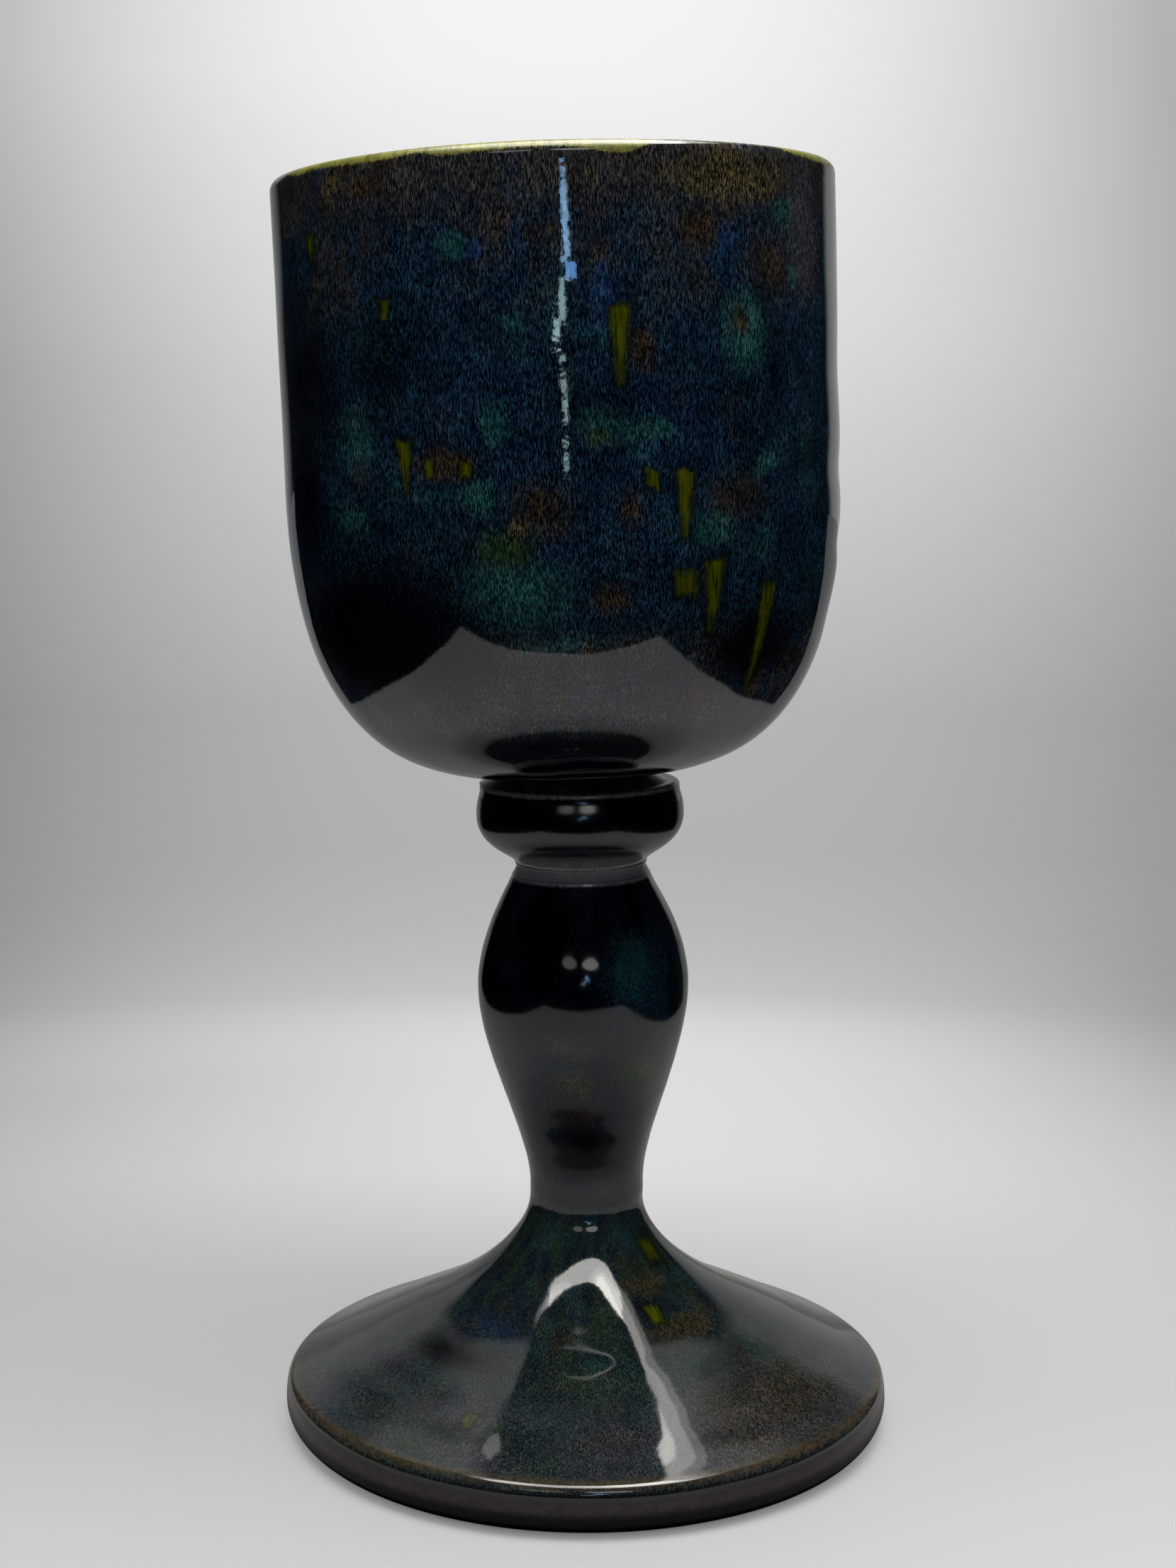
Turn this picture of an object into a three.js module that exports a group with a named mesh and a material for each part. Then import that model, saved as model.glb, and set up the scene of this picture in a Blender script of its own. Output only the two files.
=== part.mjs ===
// A chalice in glazed stoneware: a deep, straight-sided bowl on a swelling stem with a knop, over a
// wide flared foot. It is thrown in four pieces, each with a tenon that sits in the socket of the
// piece below, and they are luted together with clay slip and glazed as one. As thrown pots do, it
// leans a little, and the bowl leans more than the stem.
// Millimetres and degrees, +Z up, with the origin on the table under the middle of the foot.
import * as THREE from "three";

// Driving dimensions of the foot
const FOOT_HEIGHT = 36.0;
const FOOT_RADIUS = 46.7;
const FOOT_WIDEST_HEIGHT = 4.2;
const FOOT_UNDERCUT = 2.6; // how far the ring that it stands on is set in from the widest point
const FOOT_SHOULDER_INSET = 2.5; // where the rounded edge gives way to the straight slope
const FOOT_SHOULDER_HEIGHT = 9.0;
const FOOT_FLARE_RADIUS = 26.1; // where the straight slope starts to sweep up into the waist
const FOOT_FLARE_HEIGHT = 18.0;
const FOOT_RING_WIDTH = 6.0;
const FOOT_RING_DEPTH = 5.5;
const FOOT_RING_TAPER = 1.0; // how far the inside of the ring slants in over its depth
const FOOT_HOLLOW_HEIGHT = 29.0;
const WAIST_RADIUS = 8.8;

// Driving dimensions of the stem
const STEM_LENGTH = 49.5;
const STEM_BELLY_RADIUS = 16.4;
const STEM_BELLY_HEIGHT = 32.2;
const STEM_BELLY_BORE = 8.0;
const STEM_NECK_RADIUS = 10.6;
const STEM_LEAN = 1.2;

// Driving dimensions of the knop
const KNOP_HEIGHT = 12.7;
const KNOP_RADIUS = 15.9;
const KNOP_WIDEST_HEIGHT = 7.8;
const KNOP_SHELF_INSET = 0.8;

// Driving dimensions of the bowl
const BOWL_HEIGHT = 87.7;
const BOWL_RADIUS = 41.25;
const BOWL_BASE_RADIUS = 14.0;
const BOWL_CURVE_HEIGHT = 43.7; // where the rounded bottom becomes the upright wall
const BOWL_WALL = 4.0;
const BOWL_FLOOR = 7.0;
const LIP_WIDTH = 3.4;
const LIP_HEIGHT = 2.2;
const BOWL_LEAN = 1.0; // more than the stem's
const BOWL_OFFSET = 0.9; // how far the bowl is set over from the knop's middle, towards the lean

// Driving dimensions of the joints
const TENON_RADIUS = 6.0;
const TENON_LENGTH = 4.0;
const TENON_CLEARANCE = 0.3;
const BORE_RADIUS = 4.0;
const SLIP_THICKNESS = 0.8;
const BOWL_SLIP_THICKNESS = 1.3;
const BOWL_SLIP_RADIUS = 9.6;
const JOINT_GAP = 0.3;

// How far each curve follows the line that it leaves or meets, as a share of its span
const FLARE_PULLS = [0.4, 0.4];
const FOOT_EDGE_PULLS = [0.8, 0.5];
const HOLLOW_PULLS = [0.85, 0.45];
const STEM_LOWER_PULLS = [0.26, 0.33];
const STEM_UPPER_PULLS = [0.5, 0.19];
const STEM_BORE_PULLS = [0.4, 0.4];
const KNOP_LOWER_PULLS = [0.38, 0.71];
const KNOP_UPPER_PULLS = [0.57, 0.18];
const BOWL_OUTSIDE_PULLS = [0.87, 0.4];
const BOWL_INSIDE_PULLS = [0.86, 0.77];
const BOWL_BASE_RISE = 0.046;

// How finely the round forms are drawn
const WIDE_SEGMENTS = 56;
const SLIM_SEGMENTS = 40;
const LONG_CURVE_STEPS = 9;
const SHORT_CURVE_STEPS = 5;

// Heights and radii worked out from the dimensions
const socketDepth = TENON_LENGTH + TENON_CLEARANCE;
const socketRadius = TENON_RADIUS + TENON_CLEARANCE;
const bowlSocketRadius = socketRadius + BOWL_OFFSET;
const contactRadius = FOOT_RADIUS - FOOT_UNDERCUT;
const stemBase = FOOT_HEIGHT + SLIP_THICKNESS;
const knopSlipBase = STEM_LENGTH + JOINT_GAP;
const knopBase = knopSlipBase + SLIP_THICKNESS + JOINT_GAP;
const bowlSlipBase = knopBase + KNOP_HEIGHT + JOINT_GAP;
const bowlBase = bowlSlipBase + BOWL_SLIP_THICKNESS + JOINT_GAP;
const stemLean = THREE.MathUtils.degToRad(STEM_LEAN);
const bowlLean = THREE.MathUtils.degToRad(BOWL_LEAN);

const glaze = new THREE.MeshStandardMaterial({ color: "#101a26", roughness: 0.15, metalness: 0 });
const bareClay = new THREE.MeshStandardMaterial({ color: "#6f5c4a", roughness: 0.85, metalness: 0 });

// A point of an outline: its distance from the axis and its height.
function at(radius, height) {
  return new THREE.Vector2(radius, height);
}

// The points of a cubic curve after its first one.
function curve(from, leaving, meeting, to, steps) {
  return new THREE.CubicBezierCurve(from, leaving, meeting, to).getPoints(steps).slice(1);
}

// A curve that is upright at both ends, such as a belly between two necks.
function swell(from, to, [leave, meet], steps) {
  const rise = to.y - from.y;
  return curve(from, at(from.x, from.y + leave * rise), at(to.x, to.y - meet * rise), to, steps);
}

// A quarter of an ellipse, flat at its first point and upright at its last.
function roundedCorner(from, to, steps) {
  const points = [];
  for (let step = 1; step <= steps; step++) {
    const angle = (Math.PI / 2) * (step / steps);
    points.push(at(
      from.x + (to.x - from.x) * Math.sin(angle),
      from.y + (to.y - from.y) * (1 - Math.cos(angle)),
    ));
  }
  return points;
}

// The solid that an outline sweeps out round the upright axis. An outline that doesn't start on the
// axis is a ring, and is closed on its first point.
function turned(outline, segments) {
  const points = outline[0].x > 0 ? [...outline, outline[0].clone()] : outline;
  return new THREE.LatheGeometry(points, segments).rotateX(Math.PI / 2);
}

function piece(name, geometry, material, height = 0) {
  const mesh = new THREE.Mesh(geometry, material);
  mesh.name = name;
  mesh.position.z = height;
  return mesh;
}

// The foot: a rounded edge over the ring that it stands on, a straight slope that sweeps up into the
// waist, a socket in the top, and a hollow underneath that runs up into the bore.
function footGeometry() {
  const shoulder = at(FOOT_RADIUS - FOOT_SHOULDER_INSET, FOOT_SHOULDER_HEIGHT);
  const flare = at(FOOT_FLARE_RADIUS, FOOT_FLARE_HEIGHT);
  const slope = flare.clone().sub(shoulder);
  const widest = at(FOOT_RADIUS, FOOT_WIDEST_HEIGHT);
  const contact = at(contactRadius, 0);
  const top = at(WAIST_RADIUS, FOOT_HEIGHT);
  const ringInside = contactRadius - FOOT_RING_WIDTH;
  const hollowEdge = at(ringInside - FOOT_RING_TAPER, FOOT_RING_DEPTH);
  const hollowTop = at(BORE_RADIUS, FOOT_HOLLOW_HEIGHT);
  const shoulderRise = shoulder.y - widest.y;
  const shoulderMeet = slope.clone().multiplyScalar(FOOT_EDGE_PULLS[1] * FOOT_SHOULDER_INSET / -slope.x);
  const hollowRise = hollowTop.y - hollowEdge.y;
  const hollowLeave = slope.clone().multiplyScalar(HOLLOW_PULLS[0]);
  return turned([
    contact,
    ...roundedCorner(contact, widest, SHORT_CURVE_STEPS),
    ...curve(
      widest,
      at(widest.x, widest.y + FOOT_EDGE_PULLS[0] * shoulderRise),
      shoulder.clone().sub(shoulderMeet),
      shoulder,
      SHORT_CURVE_STEPS,
    ),
    flare,
    ...curve(
      flare,
      flare.clone().addScaledVector(slope, FLARE_PULLS[0]),
      at(top.x, top.y - FLARE_PULLS[1] * (top.y - flare.y)),
      top,
      LONG_CURVE_STEPS,
    ),
    at(socketRadius, FOOT_HEIGHT),
    at(socketRadius, FOOT_HEIGHT - socketDepth),
    at(BORE_RADIUS, FOOT_HEIGHT - socketDepth),
    hollowTop,
    ...curve(
      hollowTop,
      at(hollowTop.x, hollowTop.y - HOLLOW_PULLS[1] * hollowRise),
      hollowEdge.clone().add(hollowLeave),
      hollowEdge,
      LONG_CURVE_STEPS,
    ),
    at(ringInside, 0),
  ], WIDE_SEGMENTS);
}

// The stem: a baluster that is hollow like the thrown tube it was, with a tenon below and a socket
// above.
function stemGeometry() {
  const waist = at(WAIST_RADIUS, JOINT_GAP);
  const belly = at(STEM_BELLY_RADIUS, STEM_BELLY_HEIGHT);
  const neck = at(STEM_NECK_RADIUS, STEM_LENGTH);
  const tenonEnd = JOINT_GAP - TENON_LENGTH;
  const socketFloor = STEM_LENGTH - socketDepth;
  const innerTop = at(BORE_RADIUS, socketFloor);
  const innerBelly = at(STEM_BELLY_BORE, STEM_BELLY_HEIGHT);
  const innerWaist = at(BORE_RADIUS, JOINT_GAP);
  return turned([
    at(TENON_RADIUS, tenonEnd),
    at(TENON_RADIUS, JOINT_GAP),
    waist,
    ...swell(waist, belly, STEM_LOWER_PULLS, LONG_CURVE_STEPS),
    ...swell(belly, neck, STEM_UPPER_PULLS, LONG_CURVE_STEPS),
    at(socketRadius, STEM_LENGTH),
    at(socketRadius, socketFloor),
    innerTop,
    ...swell(innerTop, innerBelly, STEM_BORE_PULLS, SHORT_CURVE_STEPS),
    ...swell(innerBelly, innerWaist, STEM_BORE_PULLS, SHORT_CURVE_STEPS),
    at(BORE_RADIUS, tenonEnd),
  ], SLIM_SEGMENTS);
}

// The knop: a squat ring with a flat shelf on top, a tenon below and the bowl's socket above.
function knopGeometry() {
  const bottom = at(STEM_NECK_RADIUS, 0);
  const widest = at(KNOP_RADIUS, KNOP_WIDEST_HEIGHT);
  const shelf = at(KNOP_RADIUS - KNOP_SHELF_INSET, KNOP_HEIGHT);
  return turned([
    at(TENON_RADIUS, -TENON_LENGTH),
    at(TENON_RADIUS, 0),
    bottom,
    ...swell(bottom, widest, KNOP_LOWER_PULLS, LONG_CURVE_STEPS),
    ...swell(widest, shelf, KNOP_UPPER_PULLS, SHORT_CURVE_STEPS),
    at(bowlSocketRadius, KNOP_HEIGHT),
    at(bowlSocketRadius, KNOP_HEIGHT - socketDepth),
    at(BORE_RADIUS, KNOP_HEIGHT - socketDepth),
    at(BORE_RADIUS, -TENON_LENGTH),
  ], SLIM_SEGMENTS);
}

// The bowl: a solid tenon, a flat base, a full round bottom under an upright wall, and a round lip.
function bowlGeometry() {
  const base = at(BOWL_BASE_RADIUS, 0);
  const wallFoot = at(BOWL_RADIUS, BOWL_CURVE_HEIGHT);
  const wallTop = at(BOWL_RADIUS, BOWL_HEIGHT - LIP_HEIGHT);
  const lip = at(BOWL_RADIUS - LIP_WIDTH / 2, BOWL_HEIGHT);
  const lipInside = at(BOWL_RADIUS - LIP_WIDTH, BOWL_HEIGHT - LIP_HEIGHT);
  const innerFoot = at(BOWL_RADIUS - BOWL_WALL, BOWL_CURVE_HEIGHT);
  const floor = at(0, BOWL_FLOOR);
  const outsidePull = BOWL_OUTSIDE_PULLS[0] * (wallFoot.x - base.x);
  const insideDrop = innerFoot.y - floor.y;
  return turned([
    at(0, -TENON_LENGTH),
    at(TENON_RADIUS, -TENON_LENGTH),
    at(TENON_RADIUS, 0),
    base,
    ...curve(
      base,
      at(base.x + outsidePull, BOWL_BASE_RISE * BOWL_CURVE_HEIGHT),
      at(wallFoot.x, wallFoot.y * (1 - BOWL_OUTSIDE_PULLS[1])),
      wallFoot,
      LONG_CURVE_STEPS,
    ),
    wallTop,
    ...roundedCorner(lip, wallTop, SHORT_CURVE_STEPS).slice(0, -1).reverse(),
    lip,
    ...roundedCorner(lip, lipInside, SHORT_CURVE_STEPS),
    ...curve(
      innerFoot,
      at(innerFoot.x, innerFoot.y - BOWL_INSIDE_PULLS[1] * insideDrop),
      at(BOWL_INSIDE_PULLS[0] * innerFoot.x, floor.y),
      floor,
      LONG_CURVE_STEPS,
    ),
  ], WIDE_SEGMENTS);
}

// A ring of slip that fills one joint. Its top is cut to the lean of the piece that it carries.
function slipGeometry(radius, bore, thickness, lean) {
  const ring = turned([
    at(bore, 0),
    at(radius, 0),
    at(radius, thickness),
    at(bore, thickness),
  ], SLIM_SEGMENTS);
  const corners = ring.getAttribute("position");
  for (let i = 0; i < corners.count; i++) {
    if (corners.getZ(i) > thickness / 2) {
      corners.setZ(i, corners.getZ(i) + corners.getX(i) * Math.tan(lean));
    }
  }
  return ring;
}

// A group whose own frame stands on a given point and leans towards -X.
function leaning(angle, offset, height) {
  const group = new THREE.Group();
  group.position.set(-offset, 0, height);
  group.rotation.y = -angle;
  return group;
}

const chalice = new THREE.Group();
chalice.add(piece("foot", footGeometry(), glaze));
chalice.add(piece(
  "slip_joint_stem_to_foot",
  slipGeometry(WAIST_RADIUS, socketRadius, SLIP_THICKNESS, stemLean),
  bareClay,
  FOOT_HEIGHT,
));

const upright = leaning(stemLean, 0, stemBase);
upright.add(piece("stem", stemGeometry(), glaze));
upright.add(piece(
  "slip_joint_knop_to_stem",
  slipGeometry(STEM_NECK_RADIUS, socketRadius, SLIP_THICKNESS, 0),
  bareClay,
  knopSlipBase,
));
upright.add(piece("knop", knopGeometry(), glaze, knopBase));
upright.add(piece(
  "slip_joint_bowl_to_knop",
  slipGeometry(BOWL_SLIP_RADIUS, bowlSocketRadius, BOWL_SLIP_THICKNESS, bowlLean),
  bareClay,
  bowlSlipBase,
));
chalice.add(upright);

const cup = leaning(bowlLean, BOWL_OFFSET, bowlBase);
cup.add(piece("bowl", bowlGeometry(), glaze));
upright.add(cup);

export default chalice;
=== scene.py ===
"""A wheel-thrown stoneware chalice under a dark reactive glaze, dressed and lit for a picture.

The pieces stand where the frame has them. Sizes are in millimetres unless a name says otherwise, in
the frame's own axes: +Z up, the front towards -Y. Angles on the pot are in degrees from the front,
towards +X, and heights are above the base of the piece that they are on. Patterns of a glaze are laid
out in millimetres too, so a noise of scale 0.5 has features 2 mm across.
"""

from __future__ import annotations

import logging
import math
from dataclasses import dataclass
from enum import Enum
from functools import partial
from typing import Callable, ClassVar, Union

import bpy
import numpy as np
from mathutils import Matrix, Vector

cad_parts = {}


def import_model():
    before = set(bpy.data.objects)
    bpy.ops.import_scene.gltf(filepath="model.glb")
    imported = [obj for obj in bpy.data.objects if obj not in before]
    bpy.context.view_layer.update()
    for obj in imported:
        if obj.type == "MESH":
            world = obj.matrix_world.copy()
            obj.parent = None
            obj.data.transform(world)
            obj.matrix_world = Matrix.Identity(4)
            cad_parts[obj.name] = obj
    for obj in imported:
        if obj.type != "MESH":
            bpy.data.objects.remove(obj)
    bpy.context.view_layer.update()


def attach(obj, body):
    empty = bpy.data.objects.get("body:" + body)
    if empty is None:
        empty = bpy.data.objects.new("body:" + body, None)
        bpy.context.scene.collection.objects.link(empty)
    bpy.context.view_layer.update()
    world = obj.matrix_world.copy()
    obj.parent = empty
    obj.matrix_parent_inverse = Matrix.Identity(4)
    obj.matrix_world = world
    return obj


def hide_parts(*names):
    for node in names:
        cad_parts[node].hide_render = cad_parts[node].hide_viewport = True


log = logging.getLogger("chalice")

MM = 0.001
BODY = "root"
Node = bpy.types.Node
Adder = Callable[..., Node]
Feed = Union[Node, bpy.types.NodeSocket, float, tuple, None]

MODES = {  # what the mode of a node is called, where it isn't its operation
    "MapRange": "interpolation_type",
    "Mapping": "vector_type",
    "Mix": "data_type",
    "TexGradient": "gradient_type",
    "VectorRotate": "rotation_type",
}


def linear(colour: str | float) -> tuple[float, float, float, float]:
    """Turns a colour into the linear values that Blender's sockets take.

    Args:
        colour: an sRGB hex colour such as "#0b1a2c", or a grey's linear value.

    Returns:
        Red, green, blue and an alpha of one.
    """
    if not isinstance(colour, str):
        return (colour, colour, colour, 1.0)
    shares = [int(colour[place : place + 2], 16) / 255 for place in (1, 3, 5)]
    return (*(one / 12.92 if one <= 0.04045 else ((one + 0.055) / 1.055) ** 2.4 for one in shares), 1.0)


def add_node(tree: bpy.types.NodeTree, kind: str, *ordered: Feed, **named: Feed) -> Node:
    """Adds a node with its mode and its links.

    Args:
        tree: the node tree that the node goes into.
        kind: its type without "ShaderNode", then its mode if it has one, such as "Math ADD".
        *ordered: what goes into its inputs in order: a value, a node, a socket, or None to leave one.
        **named: the same for inputs by name, with _ for a space.

    Returns:
        The new node.
    """
    kind, _, mode = kind.partition(" ")
    node = tree.nodes.new("ShaderNode" + kind)
    if mode:
        setattr(node, MODES.get(kind, "operation"), mode)
    shown = [socket for socket in node.inputs if socket.enabled]
    feeds = list(zip(shown, ordered))
    for name, feed in named.items():
        feeds.append((next(one for one in shown if one.name == name.replace("_", " ")), feed))
    for socket, feed in feeds:
        if isinstance(feed, Node):
            feed = next(one for one in feed.outputs if one.enabled)
        if isinstance(feed, bpy.types.NodeSocket):
            tree.links.new(feed, socket)
        elif feed is not None:
            socket.default_value = feed
    return node


def fill_ramp(node: Node, *stops: tuple[float, str | float]) -> Node:
    """Sets the stops of a colour ramp.

    Args:
        node: the ramp's node.
        *stops: each stop's place from 0 to 1, and its colour or grey.

    Returns:
        The same node.
    """
    elements = node.color_ramp.elements
    for _ in stops[2:]:
        elements.new(1.0)
    for element, (place, colour) in zip(elements, stops):
        element.position = place
        element.color = linear(colour)
    return node


def new_material(name: str) -> tuple[bpy.types.Material, Adder]:
    """Starts a material.

    Args:
        name: its name.

    Returns:
        The material with no nodes in it, and what adds a node to it.
    """
    material = bpy.data.materials.new(name)
    material.use_nodes = True
    material.node_tree.nodes.clear()
    return material, partial(add_node, material.node_tree)


# Outlines and turned meshes


def curve(start: tuple, leaving: tuple, meeting: tuple, end: tuple, steps: int) -> np.ndarray:
    """Points along a cubic curve.

    Args:
        start: the first point, as a radius and a height.
        leaving: the control point after it.
        meeting: the control point before the end.
        end: the last point.
        steps: how many steps the curve takes.

    Returns:
        An array of steps + 1 points.
    """
    share = np.linspace(0, 1, steps + 1)[:, None]
    points = (start, leaving, meeting, end)
    weights = [(1 - share) ** 3, 3 * (1 - share) ** 2 * share, 3 * (1 - share) * share**2, share**3]
    return sum(weight * np.array(point, float) for weight, point in zip(weights, points))


def swell(start: tuple, end: tuple, pulls: tuple[float, float], steps: int) -> np.ndarray:
    """Points along a curve that is upright at both ends, such as a belly between two necks.

    Args:
        start: the first point, as a radius and a height.
        end: the last point.
        pulls: how far the curve follows the upright at each end, as a share of its rise.
        steps: how many steps the curve takes.

    Returns:
        An array of steps + 1 points.
    """
    rise = end[1] - start[1]
    leaving = (start[0], start[1] + pulls[0] * rise)
    return curve(start, leaving, (end[0], end[1] - pulls[1] * rise), end, steps)


def quarter(flat: tuple, upright: tuple, steps: int) -> np.ndarray:
    """Points along a quarter of an ellipse.

    Args:
        flat: the first point, where the ellipse is level.
        upright: the last point, where it is upright.
        steps: how many steps it takes.

    Returns:
        An array of steps + 1 points.
    """
    turn = np.linspace(0, math.pi / 2, steps + 1)
    radii = flat[0] + (upright[0] - flat[0]) * np.sin(turn)
    return np.stack([radii, flat[1] + (upright[1] - flat[1]) * (1 - np.cos(turn))], axis=1)


def straight(start: tuple, end: tuple, steps: int = 1) -> np.ndarray:
    """Points along a straight line, as an array of steps + 1 points."""
    return np.linspace(np.array(start, float), np.array(end, float), steps + 1)


@dataclass
class Stretch:
    """A smooth stretch of a piece's outline, between two edges."""

    points: np.ndarray
    finish: int = 0
    hand: float = 0.0  # how much of the hand's unevenness it has, from 0 to 1
    rounded_on: bool = False  # True where it runs smoothly into the next stretch


def facets(finish: int, *corners: tuple) -> list[Stretch]:
    """Straight stretches of one finish from corner to corner, with an edge at each."""
    return [Stretch(straight(start, end), finish) for start, end in zip(corners, corners[1:])]


@dataclass(frozen=True)
class HandMarks:
    """The unevenness that throwing leaves: low swells all round, faint rings, and thumb dents."""

    seed: int
    slope: float  # how steep the swells are, as a slope
    longest: float = 60.0
    shortest: float = 14.0
    swells: int = 16
    ring_slope: float = 0.0
    ring_pitch: float = 5.0
    girth: float = 40.0  # the radius that round wavelengths are measured at
    dents: tuple = ()  # each dent's angle, height, half-height, half-width and depth
    proud: float = 0.0  # how far the whole surface stands out, to make up for the marks
    calm: float = 8.0  # nearer to the axis than this they fade out, so that the surface doesn't pucker

    def depth(self, angles: np.ndarray, heights: np.ndarray, travel: np.ndarray) -> np.ndarray:
        """How far the surface lies inside its ideal outline.

        Args:
            angles: the angle of each column, in radians.
            heights: the height of each row.
            travel: how far along the outline each row is.

        Returns:
            A depth for each row and column.
        """
        draw = np.random.default_rng(self.seed)
        total = np.zeros((len(travel), len(angles)))
        reach = 0.0
        for _ in range(self.swells):
            length = self.longest * (self.shortest / self.longest) ** draw.random()
            lie = draw.uniform(0.15, 1.35)
            rounds = max(1, round(2 * math.pi * self.girth * math.cos(lie) / length))
            climb = 2 * math.pi * math.sin(lie) / length
            amount = self.slope * length / (2 * math.pi) / math.sqrt(self.swells / 2)
            phase = draw.uniform(0, 2 * math.pi)
            way = 1 if draw.random() < 0.5 else -1
            total += amount * np.cos(way * rounds * angles[None, :] + climb * travel[:, None] + phase)
            reach += amount * 0.5
        ring = self.ring_slope * self.ring_pitch / (2 * math.pi)
        drift = 0.8 * np.sin(angles[None, :] + 1.3) + 0.5 * np.sin(2 * angles[None, :])
        total += ring * np.cos(2 * math.pi * travel[:, None] / self.ring_pitch + drift)
        depth = np.maximum(reach + ring - total, 0.0) - self.proud
        for angle, height, tall, wide, deep in self.dents:
            turn = (angles - math.radians(angle) + math.pi) % (2 * math.pi) - math.pi
            across = (turn * self.girth / wide)[None, :]
            along = ((heights - height) / tall)[:, None]
            depth += deep * np.exp(-(across**2) - along**2)
        return depth


def leaning(x: float, height: float, lean: float) -> Matrix:
    """A frame at a place on the X-Z plane, whose axis leans towards -X by some degrees."""
    return Matrix.Translation((x, 0.0, height)) @ Matrix.Rotation(-math.radians(lean), 4, "Y")


@dataclass
class Turned:
    """A piece that is turned round an axis, as one closed mesh."""

    name: str
    node: str
    slot: str
    seat: Matrix
    stretches: list[Stretch]
    segments: int
    finishes: tuple[bpy.types.Material, ...]
    marks: HandMarks | None = None
    foot_seat: Matrix | None = None  # the frame of its lowest ring, where that differs

    def build(self) -> bpy.types.Object:
        """Makes the mesh, rides it on the body and puts it in its node's place.

        Returns:
            The new object.
        """
        rings, finishes, sharp, hand = self.rings()
        angles = np.linspace(-math.pi, math.pi, self.segments, endpoint=False)
        travel = np.concatenate([[0.0], np.cumsum(np.hypot(*np.diff(rings, axis=0).T))])
        slopes = np.gradient(rings, axis=0)
        outward = np.stack([slopes[:, 1], -slopes[:, 0]], axis=1)
        outward /= np.maximum(np.hypot(*outward.T), 1e-9)[:, None]
        depth = np.zeros((len(rings), self.segments))
        if self.marks:
            faded = hand * np.minimum(rings[:, 0] / self.marks.calm, 1.0) ** 2
            depth = self.marks.depth(angles, rings[:, 1], travel) * faded[:, None]
        radii = rings[:, 0:1] - depth * outward[:, 0:1]
        heights = rings[:, 1:2] - depth * outward[:, 1:2]
        places = np.stack([radii * np.sin(angles), -radii * np.cos(angles), heights], axis=2)
        mesh = self.mesh(self.seated(places, rings[:, 1]), rings, finishes, sharp)
        piece = bpy.data.objects.new(self.name, mesh)
        bpy.context.scene.collection.objects.link(piece)
        for finish in self.finishes:
            mesh.materials.append(finish)
        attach(piece, BODY)
        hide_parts(self.node)
        log.info("%s: %d faces", self.name, len(mesh.polygons))
        return piece

    def rings(self) -> tuple[np.ndarray, list[int], list[bool], np.ndarray]:
        """Strings the stretches together.

        Returns:
            The outline's points, the finish of each band between two points, whether each point is
            an edge, and how much of the hand's unevenness each point has.
        """
        points: list[np.ndarray] = []
        finishes: list[int] = []
        sharp: list[bool] = []
        hand: list[float] = []
        for stretch in self.stretches:
            fresh = stretch.points[1:] if points else stretch.points
            finishes += [stretch.finish] * (len(stretch.points) - 1)
            sharp += [False] * (len(fresh) - 1) + [not stretch.rounded_on]
            points += list(fresh)
            if hand:
                hand[-1] = min(hand[-1], stretch.hand)
            hand += [stretch.hand] * len(fresh)
        sharp[0] = True
        smoothed = np.array(hand)
        smoothed[0] = smoothed[-1] = 0.0
        for _ in range(8):
            smoothed[1:-1] = np.minimum(smoothed[1:-1], (smoothed[:-2] + smoothed[2:]) / 2)
        return np.array(points), finishes, sharp, smoothed

    def seated(self, places: np.ndarray, heights: np.ndarray) -> np.ndarray:
        """Moves the rings from the piece's own frame into the shared one.

        Args:
            places: every point, in millimetres, in the piece's frame.
            heights: the height of each ring.

        Returns:
            The points in metres, in the shared frame.
        """
        high = np.array(self.seat)
        moved = places @ high[:3, :3].T + high[:3, 3]
        if self.foot_seat:
            low = np.array(self.foot_seat)
            share = ((heights - heights.min()) / (heights.max() - heights.min()))[:, None, None]
            moved = share * moved + (1 - share) * (places @ low[:3, :3].T + low[:3, 3])
        return moved * MM

    def mesh(self, places: np.ndarray, rings: np.ndarray, finishes: list, sharp: list) -> bpy.types.Mesh:
        """Joins the rings with faces.

        Args:
            places: every point, by ring and column.
            rings: the outline, whose points on the axis become poles.
            finishes: the material of each band.
            sharp: whether each ring is an edge.

        Returns:
            The mesh.
        """
        count = self.segments
        poles = rings[:, 0] < 1e-6
        first = np.concatenate([[0], np.cumsum(np.where(poles, 1, count))])
        spots = np.concatenate([ring[:1] if pole else ring for ring, pole in zip(places, poles)])
        column = np.arange(count)
        after = (column + 1) % count
        faces: list[list[int]] = []
        looks: list[int] = []
        bands = list(enumerate(finishes))
        if not poles[0]:
            bands.append((len(rings) - 1, finishes[-1]))
        for band, finish in bands:
            other = (band + 1) % len(rings)
            low, high = first[band], first[other]
            if poles[band]:
                corners = [np.full(count, low), high + after, high + column]
            elif poles[other]:
                corners = [low + column, low + after, np.full(count, high)]
            else:
                corners = [low + column, low + after, high + after, high + column]
            faces += np.stack(corners, axis=1).tolist()
            looks += [finish] * count
        mesh = bpy.data.meshes.new(self.name)
        mesh.from_pydata(spots.tolist(), [], faces)
        mesh.polygons.foreach_set("material_index", looks)
        mesh.polygons.foreach_set("use_smooth", [True] * len(mesh.polygons))
        ring_of = np.repeat(np.arange(len(rings)), np.where(poles, 1, count))
        is_edge = np.array(sharp) & ~poles
        ends = np.empty(len(mesh.edges) * 2, int)
        mesh.edges.foreach_get("vertices", ends)
        ends = ring_of[ends.reshape(-1, 2)]
        mesh.edges.foreach_set("use_edge_sharp", (ends[:, 0] == ends[:, 1]) & is_edge[ends[:, 0]])
        mesh.update()
        mesh.validate()
        return mesh


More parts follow.
